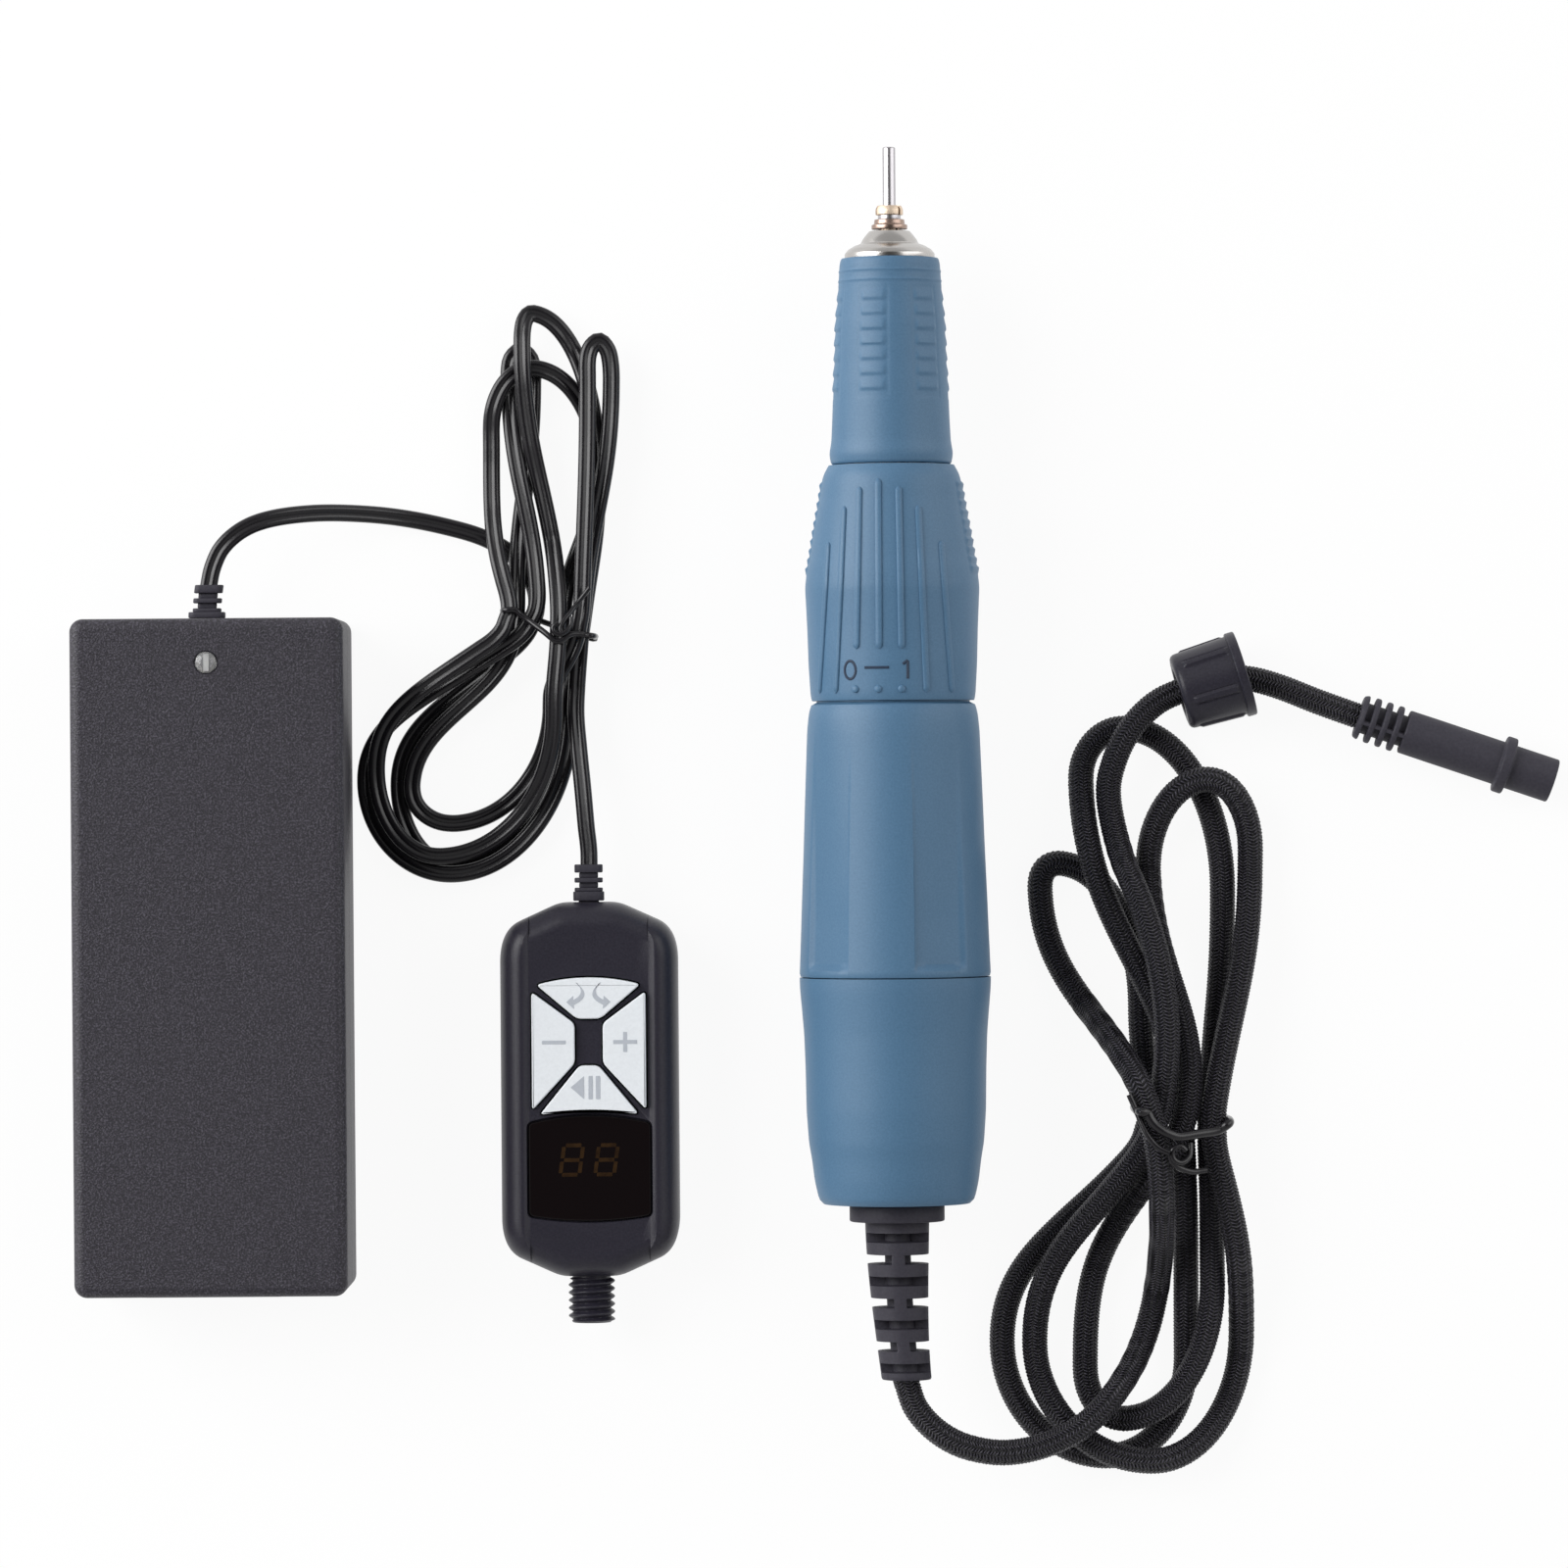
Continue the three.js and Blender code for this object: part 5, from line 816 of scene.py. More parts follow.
# Wire ties. Each goes once round the bundle, with its twisted ends on top.
TWIN_TIE = {
    "radius": 0.55,
    "end_share": 0.85,
    "over": [
        (-3.6, 29.2), (-2.5, 28.3), (-0.4, 26.7), (2.1, 24.8), (3.9, 23.3), (4.8, 22.9), (5.8, 23.5),
        (7, 24.3), (8.3, 24.4), (9.6, 24.2),
    ],
    "sides": [(-5.4, 28.9), (11.3, 24)],
    "ends": [
        ([(10.6, 32.9), (8.7, 30.5), (7, 28.3), (6, 27), (5.2, 25.6), (5.4, 24.4)], 0.75),
        ([(7.2, 27.4), (7.1, 26), (6.3, 24.9), (5.1, 24.3), (4, 24.8), (3.9, 25.8), (4.9, 26.4)], 0.9),
    ],
}
BRAID_TIE = {
    "radius": 0.9,
    "end_share": 0.62,
    "over": [
        (112.2, -64.2), (112.9, -65.5), (113.9, -66.8), (115.7, -68.1), (117.9, -69), (119.6, -68.9),
        (122, -68.6), (124.6, -68.3), (126.2, -67.8),
    ],
    "sides": [(111, -64.2), (127.8, -66.6)],
    "ends": [
        ([(109.2, -61.2), (109.7, -62.4), (110.6, -64.5), (111.9, -67.6), (113, -69.4), (114.4, -70.9),
          (116.5, -72)], 0.3),
        ([(116.5, -72), (116.9, -73.5), (117.9, -74.5), (119.3, -75.2), (121.1, -75.6), (123.5, -75.3)], 0.1),
        ([(120.4, -70.3), (120.2, -72.6), (118.8, -73.8), (117.3, -73.2), (117, -71.6), (118.4, -70.7),
          (119.5, -71.6)], 0.8),
    ],
}
TIE_FALL = 0.55
TIE_STEP = 0.4
TIE_LIFT = 0.15  # of the lower run, off the table
TIE_CORNER = {"low": 1.2, "high": 0.6, "aside": 1.6}


def draped(points, path, cord, radius, lift=0):
    """A wire along a line in plan, laid on the passes of a cord."""
    reach, rise = cord["width"] / 2 + radius, cord["thickness"] / 2 + radius
    plan = spaced(spline(points), TIE_STEP)
    heights = []
    for x, y in plan:
        height = radius
        for p in path:
            share = math.hypot(p.x - x, p.y - y) / reach
            if share < 1:
                height = max(height, p.z + rise * math.sqrt(1 - share * share))
        heights.append(height)
    count = len(heights)
    for order in (range(1, count), range(count - 2, -1, -1)):
        for i in order:
            before = i - 1 if order.step > 0 else i + 1
            heights[i] = max(heights[i], heights[before] - TIE_FALL * math.dist(plan[i], plan[before]))
    smooth = evened(heights)
    return [Vector((x, y, z + lift)) for (x, y), z in zip(plan, smooth)]


def make_tie(name, tie, path, cord, node):
    radius = tie["radius"]
    thin = tie["end_share"] * radius
    fine = finer(path, 4)
    over = draped(tie["over"], fine, cord, radius)
    low, corner = radius + TIE_LIFT, TIE_CORNER
    (left_x, left_y), (right_x, right_y) = tie["sides"]
    left = [Vector((left_x, left_y, z)) for z in (low + corner["low"], over[0].z - corner["high"])]
    right = [Vector((right_x, right_y, z)) for z in (over[-1].z - corner["high"], low + corner["low"])]
    aside = corner["aside"]
    under = [Vector((right_x - aside, right_y, low)), Vector((left_x + aside, left_y, low))]
    ring = [under[1], *left, *over[1:-1:3], over[-1], *right, *under]
    band = wire([Vector(p) for p in spaced(spline([tuple(p) for p in ring]), TIE_STEP)], radius)
    ends = [wire(draped(points, fine, cord, thin, lift), thin) for points, lift in tie["ends"]]
    new_piece(name, *joined([band, *ends]), [node], slot="black_cord", smooth=60)


make_tie("twin_tie", TWIN_TIE, twin_path, TWIN, "twin_cord_tie")
make_tie("braided_tie", BRAID_TIE, braid_path, BRAID, "braided_cord_tie")

# Where the items stand, and how far the handpiece is rolled round its axis

HANDPIECE = Matrix.Translation((66.45, -80.95, 17.6))
CONTROLLER = Matrix.Translation((9.95, -59.75, 0))
ADAPTOR = Matrix.Translation((-59.05, -34.55, 0))
PLUG_PLACE = Matrix.Translation((152.9, 8.1, 5.35)) @ Matrix.Rotation(math.radians(-108.9), 4, "Z")
NUT_PLACE = Matrix.Translation((119.6, 12.7, 8)) @ Matrix.Rotation(math.radians(-73.6), 4, "Z")
TURN = math.radians(-9.5)

# Handpiece

CAP_SHARES = [
    (0, 0.78), (0.02, 0.815), (0.1, 0.857), (0.2, 0.886), (0.27, 0.915), (0.41, 0.938), (0.6, 0.945),
    (0.75, 0.957), (0.87, 0.98), (0.95, 0.997), (1, 1),
]
CASING_SHARES = [
    (0, 1), (0.15, 0.983), (0.28, 0.969), (0.45, 0.949), (0.62, 0.932), (0.8, 0.912), (0.893, 0.902),
    (0.956, 0.884), (0.986, 0.862), (1, 0.84),
]
RING_SHARES = [
    (0, 0.93), (0.02, 0.945), (0.153, 0.966), (0.305, 0.978), (0.405, 0.99), (0.48, 1), (0.556, 0.978),
    (0.607, 0.947), (0.707, 0.903), (0.807, 0.854), (0.86, 0.826), (0.91, 0.81), (0.96, 0.78), (1, 0.72),
]
GRIP_SHARES = [
    (0, 0.97), (0.05, 1), (0.11, 0.965), (0.22, 0.947), (0.4, 0.925), (0.51, 0.904), (0.685, 0.886),
    (0.8, 0.847), (0.86, 0.833), (0.985, 0.807), (1, 0.78),
]


def angle_from(angle, middle):
    """How far an angle is from a middle one, in radians, -pi to pi."""
    return (angle - middle + math.pi) % (2 * math.pi) - math.pi


def turned_piece(name, profile, sides, nodes, slot, relief=None, body="set", place=HANDPIECE, **more):
    """A piece turned round the axis of its place."""
    new_piece(name, *lathe(profile, sides, relief), nodes, body, slot, place, **more)


CAP = {"start": 0, "length": 41.6, "radius": 17.6, "spacing": 0.7, "ease": 0.9, "rim": 0.25}
CASING = {"start": 41.8, "length": 50.5, "radius": 17.6, "spacing": 0.6, "ease": 0.9, "rim": 0.2}
RING = {"start": 92.5, "length": 43.3, "radius": 16.05, "spacing": 0.3, "ease": 0.8}
GRIP = {"start": 136.0, "length": 37.8, "radius": 11.4, "spacing": 0.3, "ease": 0.7, "rim": 0.2}

# The spine on the casing and the flats beside it: half angles in degrees, and places along the axis
SPINE_HALF = 20.5
PANEL_HALF = 57.5
PANEL_STEP = 0.5
PANEL = {"rear": 42.8, "rise": 1.5, "front": 88.5, "fade": 36}


def make_rear_cap():
    outer = curve_through(CAP_SHARES, **CAP)
    inner = [(r - 2, y) for r, y in reversed(outer) if y > 3]
    lip = [(15.0, 41.6), (15.0, 46.5), (13.6, 46.5), (13.6, 41)]
    floor = [(inner[-1][0], 2), (5.62, 2), (5.62, 0)]
    turned_piece("rear_cap_shell", outer + lip + inner + floor, 144, ["rear_cap"], "blue_metal")


def panel_depth(angle, along, radius):
    """How deep the casing is sunk beside its spine: a flat face, deepest at the rear."""
    away = abs(math.degrees(angle_from(angle, TURN)))
    if not SPINE_HALF < away < PANEL_HALF:
        return 0
    half = math.radians(PANEL_HALF - SPINE_HALF) / 2
    middle = math.radians(PANEL_HALF + SPINE_HALF) / 2
    flat = radius * (1 - math.cos(half) / math.cos(math.radians(away) - middle))
    step = PANEL_STEP * within(away, SPINE_HALF, PANEL_HALF, 1.2, 4)
    rise = smoothstep((along - PANEL["rear"]) / PANEL["rise"])
    fade = min(max((PANEL["front"] - along) / PANEL["fade"], 0), 1)
    return (flat + step) * rise * fade


def make_casing():
    outer = curve_through(CASING_SHARES, **CASING)

    def relief(angle, along, radius):
        return radius - (panel_depth(angle, along, radius) if radius > 14.6 else 0)

    lip = [(14.1, 92.2), (14.1, 94.6), (13, 94.6), (13, 91.4)]
    inner = [(9.42, 91.4), (9.42, 90.2)] + [(r - 3.1, y) for r, y in reversed(outer) if y < 89]
    turned_piece("motor_casing", outer[:-1] + lip + inner, 360, ["motor_housing"], "blue_metal", relief)


# Ribs: how far aside of the axis at the rear and at the front, and the shares where each starts and ends
RIBS = [
    (-13.5, -11.7, 0.03, 0.67), (-10.6, -8.8, 0.03, 0.82), (-6.8, -6, 0.215, 0.9), (-2.7, -2.6, 0.215, 0.935),
    (1.4, 1.1, 0.215, 0.9), (5.95, 4.65, 0.03, 0.82), (10.6, 8.8, 0.03, 0.67),
]
RIB_SECTION = [
    (-0.62, -0.5), (-0.62, 0.12), (-0.52, 0.3), (-0.32, 0.4), (0, 0.43), (0.32, 0.4), (0.52, 0.3),
    (0.62, 0.12), (0.62, -0.5),
]
RIB_ROWS = 60


def make_ribs(rows):
    """Straight ribs along the ring, on its front and on its back."""
    parts = []
    for rear, front, start, end in RIBS:
        for side in (1, -1):
            loops = []
            for k in range(RIB_ROWS + 1):
                along = RING["start"] + RING["length"] * (start + (end - start) * k / RIB_ROWS)
                radius = ring_radius(rows, along)
                angle = math.asin((rear + (front - rear) * k / RIB_ROWS) / radius)
                ends = min(k, RIB_ROWS - k) * (end - start) * RING["length"] / RIB_ROWS
                size = 0.3 + 0.7 * math.sqrt(1 - max(0, 1 - ends / 0.6) ** 2)
                loop = []
                for across, out in RIB_SECTION:
                    reach = radius + out * size
                    turned = angle + across * size / radius
                    loop.append((reach * math.sin(turned), along, side * reach * math.cos(turned)))
                loops.append(loop)
            parts.append(loft(loops))
    new_piece("ring_ribs", *joined(parts), (), "twist_ring_body", "blue_metal", HANDPIECE)


SIDE_RIDGES = {"start": 115.6, "pitch": 1.72, "count": 10, "half": 4.4, "height": 0.42, "crest": 0.72}


def side_ridge_height(angle, along):
    """Saw teeth across both sides of the ring, by their place from the rear one on."""
    ridges = SIDE_RIDGES
    away = min(abs(angle_from(angle, TURN + side)) for side in (math.pi / 2, -math.pi / 2)) * 15.5
    step = (along - ridges["start"]) / ridges["pitch"]
    if not 0 < step < ridges["count"] or away > ridges["half"]:
        return 0
    slope = step % 1
    crest = ridges["crest"]
    tooth = slope / crest if slope < crest else (1 - slope) / (1 - crest)
    return ridges["height"] * tooth * smoothstep(ridges["half"] - away)


def make_twist_ring():
    outer = curve_through(RING_SHARES, **RING)
    outer_rows = set(outer)

    def relief(angle, along, radius):
        return radius + (side_ridge_height(angle, along) if (radius, along) in outer_rows else 0)

    front = RING["start"] + RING["length"]
    inner = [(9.6, front), (9.6, 132.6)] + [(r - 1.9, y) for r, y in reversed(outer) if 95.3 < y < 132]
    inner += [(14.35, 95.2), (14.35, RING["start"])]
    turned_piece(
        "twist_ring_shell", outer + inner, 360, ["twist_ring"], "blue_metal", relief, "twist_ring_body",
    )
    return outer


def ring_radius(rows, along):
    i = min(max(bisect.bisect_left([y for _, y in rows], along), 1), len(rows) - 1)
    (low, start), (high, end) = rows[i - 1], rows[i]
    return low + (high - low) * (along - start) / (end - start)


DOT = [(0, -0.5), (0.7, -0.5), (0.7, 0.1), (0.62, 0.26), (0.44, 0.37), (0.2, 0.41), (0, 0.42)]


def make_dots(rows):
    along = 94.5
    for k, angle in enumerate((-27.5, -11, 5.2)):
        turn = Matrix.Rotation(math.radians(angle), 4, "Y")
        place = HANDPIECE @ turn @ Matrix.Translation((0, along, ring_radius(rows, along)))
        stand = place @ Matrix.Rotation(math.pi / 2, 4, "X")
        turned_piece(f"ring_dot_{k + 1}", DOT, 32, (), "blue_metal", None, "twist_ring_body", stand)


def circle_points(x, y, half_x, half_y, count=28):
    angles = [2 * math.pi * k / count for k in range(count + 1)]
    return [(x + half_x * math.cos(a), y + half_y * math.sin(a)) for a in angles]


def make_ring_marks(rows):
    """A nought, a dash and a one, sunk in lines painted dark blue as the shade inside engraved grooves: where
    the ring frees and holds the bit.
    """
    along, radius = 98, 0.33
    strokes = {
        "nought": [circle_points(-8.3, along, 1.15, 1.65)],
        "dash": [[(-5.4, along + 0.4), (-0.9, along + 0.4)]],
        "one": [[(1.6, along + 1), (2.5, along + 1.65)], [(2.5, along + 1.65), (2.5, along - 1.65)]],
    }
    for name, lines in strokes.items():
        parts = []
        for line in lines:
            plan = line if len(line) > 3 else spaced(spline(line), 0.3)
            path = []
            for x, y in plan:
                surface = ring_radius(rows, y) - 0.17
                angle = x / surface
                path.append(Vector((surface * math.sin(angle), y, surface * math.cos(angle))))
            parts.append(wire(path, radius, 8))
        new_piece(
            f"ring_mark_{name}", *joined(parts), (), "twist_ring_body", None, HANDPIECE, look="blue_mark",
        )


GRIP_RIDGES = {"columns": 6, "turn": -19.5, "start": 149.2, "pitch": 2.76, "count": 7, "height": 0.24}
GRIP_PANEL = {"rear": 147.6, "front": 168.6, "half": 3.3, "depth": 0.06}
GRIP_RINGS = {"places": (169.6, 171.4), "half": 0.35, "height": 0.12}


def grip_relief(angle, along, radius):
    """Columns of short soft ridges, each in a faint panel, and two rings near the nose."""
    ridges, panel, rings = GRIP_RIDGES, GRIP_PANEL, GRIP_RINGS
    columns = [math.radians(ridges["turn"]) + a for a in around(ridges["columns"])]
    away = min(abs(angle_from(angle, column)) for column in columns) * 10.4
    step = (along - ridges["start"]) / ridges["pitch"]
    tooth = step % 1 if 0 < step < ridges["count"] else 1
    raised = ridges["height"] * within(tooth, 0, 1, 0.16, 0.84) * smoothstep((2.8 - away) / 0.9)
    sunk = panel["depth"] * within(along, panel["rear"], panel["front"], 0.5, 0.5)
    sunk *= smoothstep((panel["half"] - away) / 0.4)
    shares = [1 - smoothstep(abs(along - place) / rings["half"]) for place in rings["places"]]
    return radius + raised - sunk + rings["height"] * sum(shares)


def make_front_grip():
    outer = curve_through(GRIP_SHARES, **GRIP)
    outer_rows = set(outer)

    def relief(angle, along, radius):
        return grip_relief(angle, along, radius) if (radius, along) in outer_rows else radius

    inner = [(radius - 1.5, along) for radius, along in reversed(outer)]
    turned_piece("front_grip_shell", outer + inner, 300, ["front_grip"], "blue_metal", relief)


def make_nose():
    profile = filleted([
        (7, 166.15), (7, 173.7), (8.3, 173.7), (8.3, 174.7), (7.6, 175.5), (6.5, 176.15), (5.5, 176.5),
        (5.3, 176.65), (5, 177.3), (4.4, 178.1), (3.75, 178.85), (3.6, 178.85), (3.6, 173.8),
        (6.92, 173.8), (6.92, 166.15),
    ], 0.22, 4)
    turned_piece("polished_nose_cone", profile, 128, ["nose_cone"], "polished_nose", smooth=40)


def make_chuck():
    spindle = {"body": "spindle_body"}
    collar = filleted([(2.2, 179.2), (3.3, 179.2), (3.3, 180), (2.85, 180.15), (2.75, 181), (2.2, 181)], 0.12)
    turned_piece("chuck_collar", collar, 96, ["chuck_ring"], "steel", look="bronzed", **spindle)
    profile = filleted([
        (1.3, 160.4), (1.8, 160.4), (1.8, 181.85), (2.53, 181.85), (2.53, 182.8), (2.2, 183.55),
        (1.3, 183.55),
    ], 0.14)
    body = new_piece("split_collet", *lathe(profile, 96), ["collet"], "spindle_body", "brass", HANDPIECE)
    stand = Matrix.Rotation(-math.pi / 2, 4, "X") @ Matrix.Scale(-1, 4, (0, 1, 0))
    slot, levels = [(0.26, 0), (0.26, 4), (-0.26, 4), (-0.26, 0)], [(174.5, 0), (186, 0)]
    turns = [Matrix.Rotation(math.radians(46 + 120 * k), 4, "Y") for k in range(3)]
    carve(body, [cutter(slot, levels, HANDPIECE @ turn @ stand) for turn in turns])
    band = filleted([(1.82, 181.02), (2.1, 181.02), (2.1, 181.82), (1.82, 181.82)], 0.06)
    turned_piece("collet_band", band, 64, (), None, look="polished_steel", **spindle)
    radius, round_off, tip = 1.175, 0.3, 194.35
    profile = [(0, 165.5), (radius, 165.5)]
    for angle in [math.pi / 8 * k for k in range(5)]:
        profile.append((radius - round_off * (1 - math.cos(angle)), tip - round_off * (1 - math.sin(angle))))
    profile.append((0, tip))
    turned_piece("bit_shank_rod", profile, 48, ["bit_shank"], "steel", look="polished_steel", **spindle)


BOOT = {"end": -32.45, "neck": -3.3, "radius": 5.9, "narrowing": 1.3, "core": 2.4, "drift": 1.9}
BOOT_SLOTS = {"first": -6.2, "pitch": -4, "count": 7, "half": 0.7, "web": 1.2}


def boot_radius(along):
    """The sleeve's own radius behind its flange, before the slots."""
    share = (BOOT["neck"] - along) / (BOOT["neck"] - BOOT["end"])
    return BOOT["radius"] - BOOT["narrowing"] * (0.6 * smoothstep(share) + 0.4 * share)


def make_boot():
    """A sleeve that drifts aside, with slots from its sides and from top and bottom in turn."""
    end, neck = BOOT["end"], BOOT["neck"]
    along = end + 0.35
    places, depths = [], {}
    for k in reversed(range(BOOT_SLOTS["count"])):
        middle = BOOT_SLOTS["first"] + BOOT_SLOTS["pitch"] * k
        rear, front = middle - BOOT_SLOTS["half"], middle + BOOT_SLOTS["half"]
        count = max(1, round((rear - along) / 0.4))
        places += [along + (rear - 0.18 - along) * j / count for j in range(1, count + 1)]
        for place, depth in ((rear - 0.06, 0.97), (rear, 1), (front, 1), (front + 0.06, 0.97)):
            places.append(place)
            depths[place] = (depth, k % 2)
        along = front + 0.18
        places.append(along)
    places += [along + (neck - 0.05 - along) * k / 3 for k in (1, 2, 3)]

    def relief(angle, along, radius):
        depth, upright = depths.get(along, (0, 0))
        reach = radius * abs(math.sin(angle) if upright else math.cos(angle))
        return radius - (radius - BOOT["core"]) * smoothstep((reach - BOOT_SLOTS["web"]) / 0.25) * depth

    rows = [(0, end), (4.2, end), (4.45, end + 0.05), (4.6, end + 0.35)]
    rows += [(boot_radius(place), place) for place in places]
    rows += [(6.6, neck), (8.4, neck), (8.65, neck + 0.08), (8.75, neck + 0.3)]
    rows += [(8.75, -0.6), (8.65, -0.38), (8.4, -0.3)]
    rows += [(5.2, -0.3), (5.2, 2.3), (7, 2.3), (7, 4.1), (0, 4.1)]
    verts, faces = lathe(rows, 144, relief)
    shares = [max(0, neck - y) / -end for _, y, _ in verts]
    drifted = [(x + BOOT["drift"] * share * share, y, z) for (x, y, z), share in zip(verts, shares)]
    new_piece("cord_boot", drifted, faces, ["handpiece_boot"], slot="dark_rubber", place=HANDPIECE)


make_rear_cap()
make_casing()
ring_rows = make_twist_ring()
make_ribs(ring_rows)
make_dots(ring_rows)
make_ring_marks(ring_rows)
make_front_grip()
make_nose()
make_chuck()
make_boot()

# Ribbed bushings on the twin cord


def make_bushing(name, node, place, wall, base_half, base_height, base_length, drift):
    spans = []
    along = -wall - 1.8
    for length, half_x, half_z in [
        (1.5, 3.6, base_height), (wall + 0.6, 1.9, 1.3), (base_length, base_half, base_height),
        (0.7, 2.6, 1.8), (0.95, 1.75, 1.05), (0.9, 2.6, 1.8), (0.95, 1.75, 1.05), (1.5, 2.6, 1.8),
    ]:
        spans.append((along, along + length, half_x, half_z))
        along += length
    loops = []
    for start, end, half_x, half_z in spans:
        for y, less in [(start, 0.16), (start + 0.05, 0.05), (start + 0.16, 0), (end - 0.16, 0),
                        (end - 0.05, 0.05), (end, 0.16)]:
            past = max(0, y) / along
            corner = min(half_x, half_z) * 0.55
            outline = rounded_rectangle(half_x - less, half_z - less, corner - less, 8)
            loops.append([(x + drift * past * past, y, z) for x, z in outline])
    new_piece(name, *loft(loops), [node], slot="dark_rubber", place=place)


make_bushing(
    "controller_bushing", "controller_boot", CONTROLLER @ Matrix.Translation((0, 34.5, 9)),
    1.8, 2.85, 2.2, 1.7, 0,
)
make_bushing(
    "adaptor_bushing", "adaptor_boot", ADAPTOR @ Matrix.Translation((-0.8, 62, 15.5)),
    2, 3.35, 2.4, 1.1, 0.5,
)

# Hand controller

CORD_PORT = (2.2, 1.6, 0.6)
CORNER_SHARES = [(1, -1), (0.5, -0.56), (0, -0.25), (-0.5, -0.06), (-1, 0)]


def pad_outline():
    half_x, half_y, shoulder, depth, end_x = 16.4, 34.5, 12.7, 3.3, 5.45
    kink = half_y - depth - depth / (shoulder - end_x) * (half_x - shoulder)
    start, corner, end = (half_x, half_y - 11), (half_x, kink), (shoulder, half_y - depth)
    quarter = []
    for t in [k / 16 for k in range(17)]:
        weights = ((1 - t) ** 2, 2 * t * (1 - t), t * t)
        quarter.append(tuple(sum(w * p for w, p in zip(weights, spot)) for spot in zip(start, corner, end)))
    quarter += [(shoulder + (end_x - shoulder) * k / 4, half_y - depth + depth * k / 4) for k in (1, 2)]
    quarter += [(end_x + 1.6 * a, half_y + 0.73 * b) for a, b in CORNER_SHARES]
    left = [(-x, y) for x, y in reversed(quarter)]
    return quarter + left + [(-x, -y) for x, y in quarter + left]


def edge_levels(start, face, inset, drop, count=12):
    side = 1 if face > start else -1
    levels = [(start, 0)]
    for k in range(count + 1):
        angle = math.pi / 2 * k / count
        levels.append((face - side * drop * (1 - math.sin(angle)), inset * (1 - math.cos(angle))))
    return levels


PAD = pad_outline()
KEY_Y = 9.1
PAD_TOP = 18
BAND_TOP = 17.5
KEY_TOP = 18.65


def key_outlines():
    top_left, top_right = (-9.6, 10.4), (9.6, 10.4)
    direction = [top_right, *bowed(top_right, top_left, 1.3, 8), top_left, (-2.15, 4.1), (2.15, 4.1)]
    minus = [(-10.5, 9.1), (-10.5, -12.7), (-2.6, -4.1), (-2.6, 3.25)]
    plus = [(-x, y) for x, y in reversed(minus)]
    low_left, low_right = (-9.1, -13.5), (9.1, -13.5)
    run = [low_left, *bowed(low_left, low_right, -0.6, 8), low_right, (1.75, -4.5), (-1.75, -4.5)]
    return {"direction": direction, "minus": minus, "plus": plus, "run": run}


KEYS = {
    name: shifted(rounded_polygon(corners, 0.9), 0, KEY_Y) for name, corners in key_outlines().items()
}


def glass_outline():
    half_x, low, high = 11.15, -23, -6.1
    corners = [(half_x, low), (half_x, high), (-half_x, high), (-half_x, low)]
    outline = [corners[0], corners[1], *bowed(corners[1], corners[2], 1.4, 10), corners[2], corners[3]]
    return rounded_polygon(outline + bowed(corners[3], corners[0], 1, 10), 0.8)


GLASS = glass_outline()


def port_cutter(place, half_x, half_z, corner, steps=10, reach=4):
    outline = rounded_rectangle(half_x, half_z, corner, steps)
    return cutter(outline, [(-reach, 0), (reach, 0)], place @ Matrix.Rotation(math.pi / 2, 4, "X"))


def controller_ports():
    """Cutters for the cord's hole in one end and the spigot's in the other."""
    cord, spigot = Matrix.Translation((0, 33.6, 9)), Matrix.Translation((0, -33.6, 9))
    return [
        port_cutter(CONTROLLER @ cord, *CORD_PORT),
        port_cutter(CONTROLLER @ spigot, 4.52, 4.52, 4.51),
    ]


def make_controller():
    look = {"slot": "black_gloss", "place": CONTROLLER}
    cover_levels = edge_levels(9.15, PAD_TOP, 4.2, 5.6)
    cover = new_piece("controller_top", *slab(PAD, cover_levels, 0.12), ["controller_cover"], **look)
    sunk = [(z - PAD_TOP + BAND_TOP, inset - 0.02) for z, inset in cover_levels]
    rails = [(9, 0), (BAND_TOP, 0), (PAD_TOP, -1.15), (18.6, -2.5)]
    band = cutter(rounded_rectangle(11.05, 40, 0.5, 4), rails, CONTROLLER)
    carve(band, [cutter(PAD, sunk, CONTROLLER)])
    hollow = [(8, 1.8), (12.4, 1.8), (14.6, 2.8), (15.6, 4.2)]
    pocket = [(16.2, -0.3), (17.2, -0.3), (17.52, -0.45), (19, -0.45)]
    mouth = [(12, -0.3), (17.35, -0.3), (17.52, -0.45), (19, -0.45)]
    opening = shifted(rounded_rectangle(9.6, 6.7, 0.8), 0, -14.7)
    cutters = [
        cutter(PAD, hollow, CONTROLLER),
        band,
        cutter(GLASS, pocket, CONTROLLER),
        cutter(opening, [(12, 0), (17, 0)], CONTROLLER),
        *(cutter(outline, mouth, CONTROLLER) for outline in KEYS.values()),
    ]
    carve(cover, cutters + controller_ports())
    base_levels = list(reversed(edge_levels(8.85, 0, 3, 3.4)))
    base = new_piece("controller_bottom", *slab(PAD, base_levels, 0.12), ["controller_base"], **look)
    hollow = [(1.8, 4.2), (3.4, 2.2), (5, 1.8), (10, 1.8)]
    carve(base, [cutter(PAD, hollow, CONTROLLER), *controller_ports()])


def make_key(name, outline):
    shape = slab(outline, edge_levels(14.25, KEY_TOP, 0.26, 0.26, 6), 0.05)
    new_piece(f"{name}_keycap", *shape, [f"{name}_key"], f"{name}_key_body", "light_key", CONTROLLER)


def symbol(name, key, outlines):
    levels = [(KEY_TOP - 0.2, 0), (KEY_TOP + 0.04, 0), (KEY_TOP + 0.06, 0.04)]
    parts = [slab(shifted(outline, 0, KEY_Y), levels) for outline in outlines]
    new_piece(name, *joined(parts), (), f"{key}_key_body", None, CONTROLLER, look="key_symbol")


def bar(x, y, half_x, half_y, corner=0.15):
    return shifted(rounded_rectangle(half_x, half_y, corner, 3), x, y)


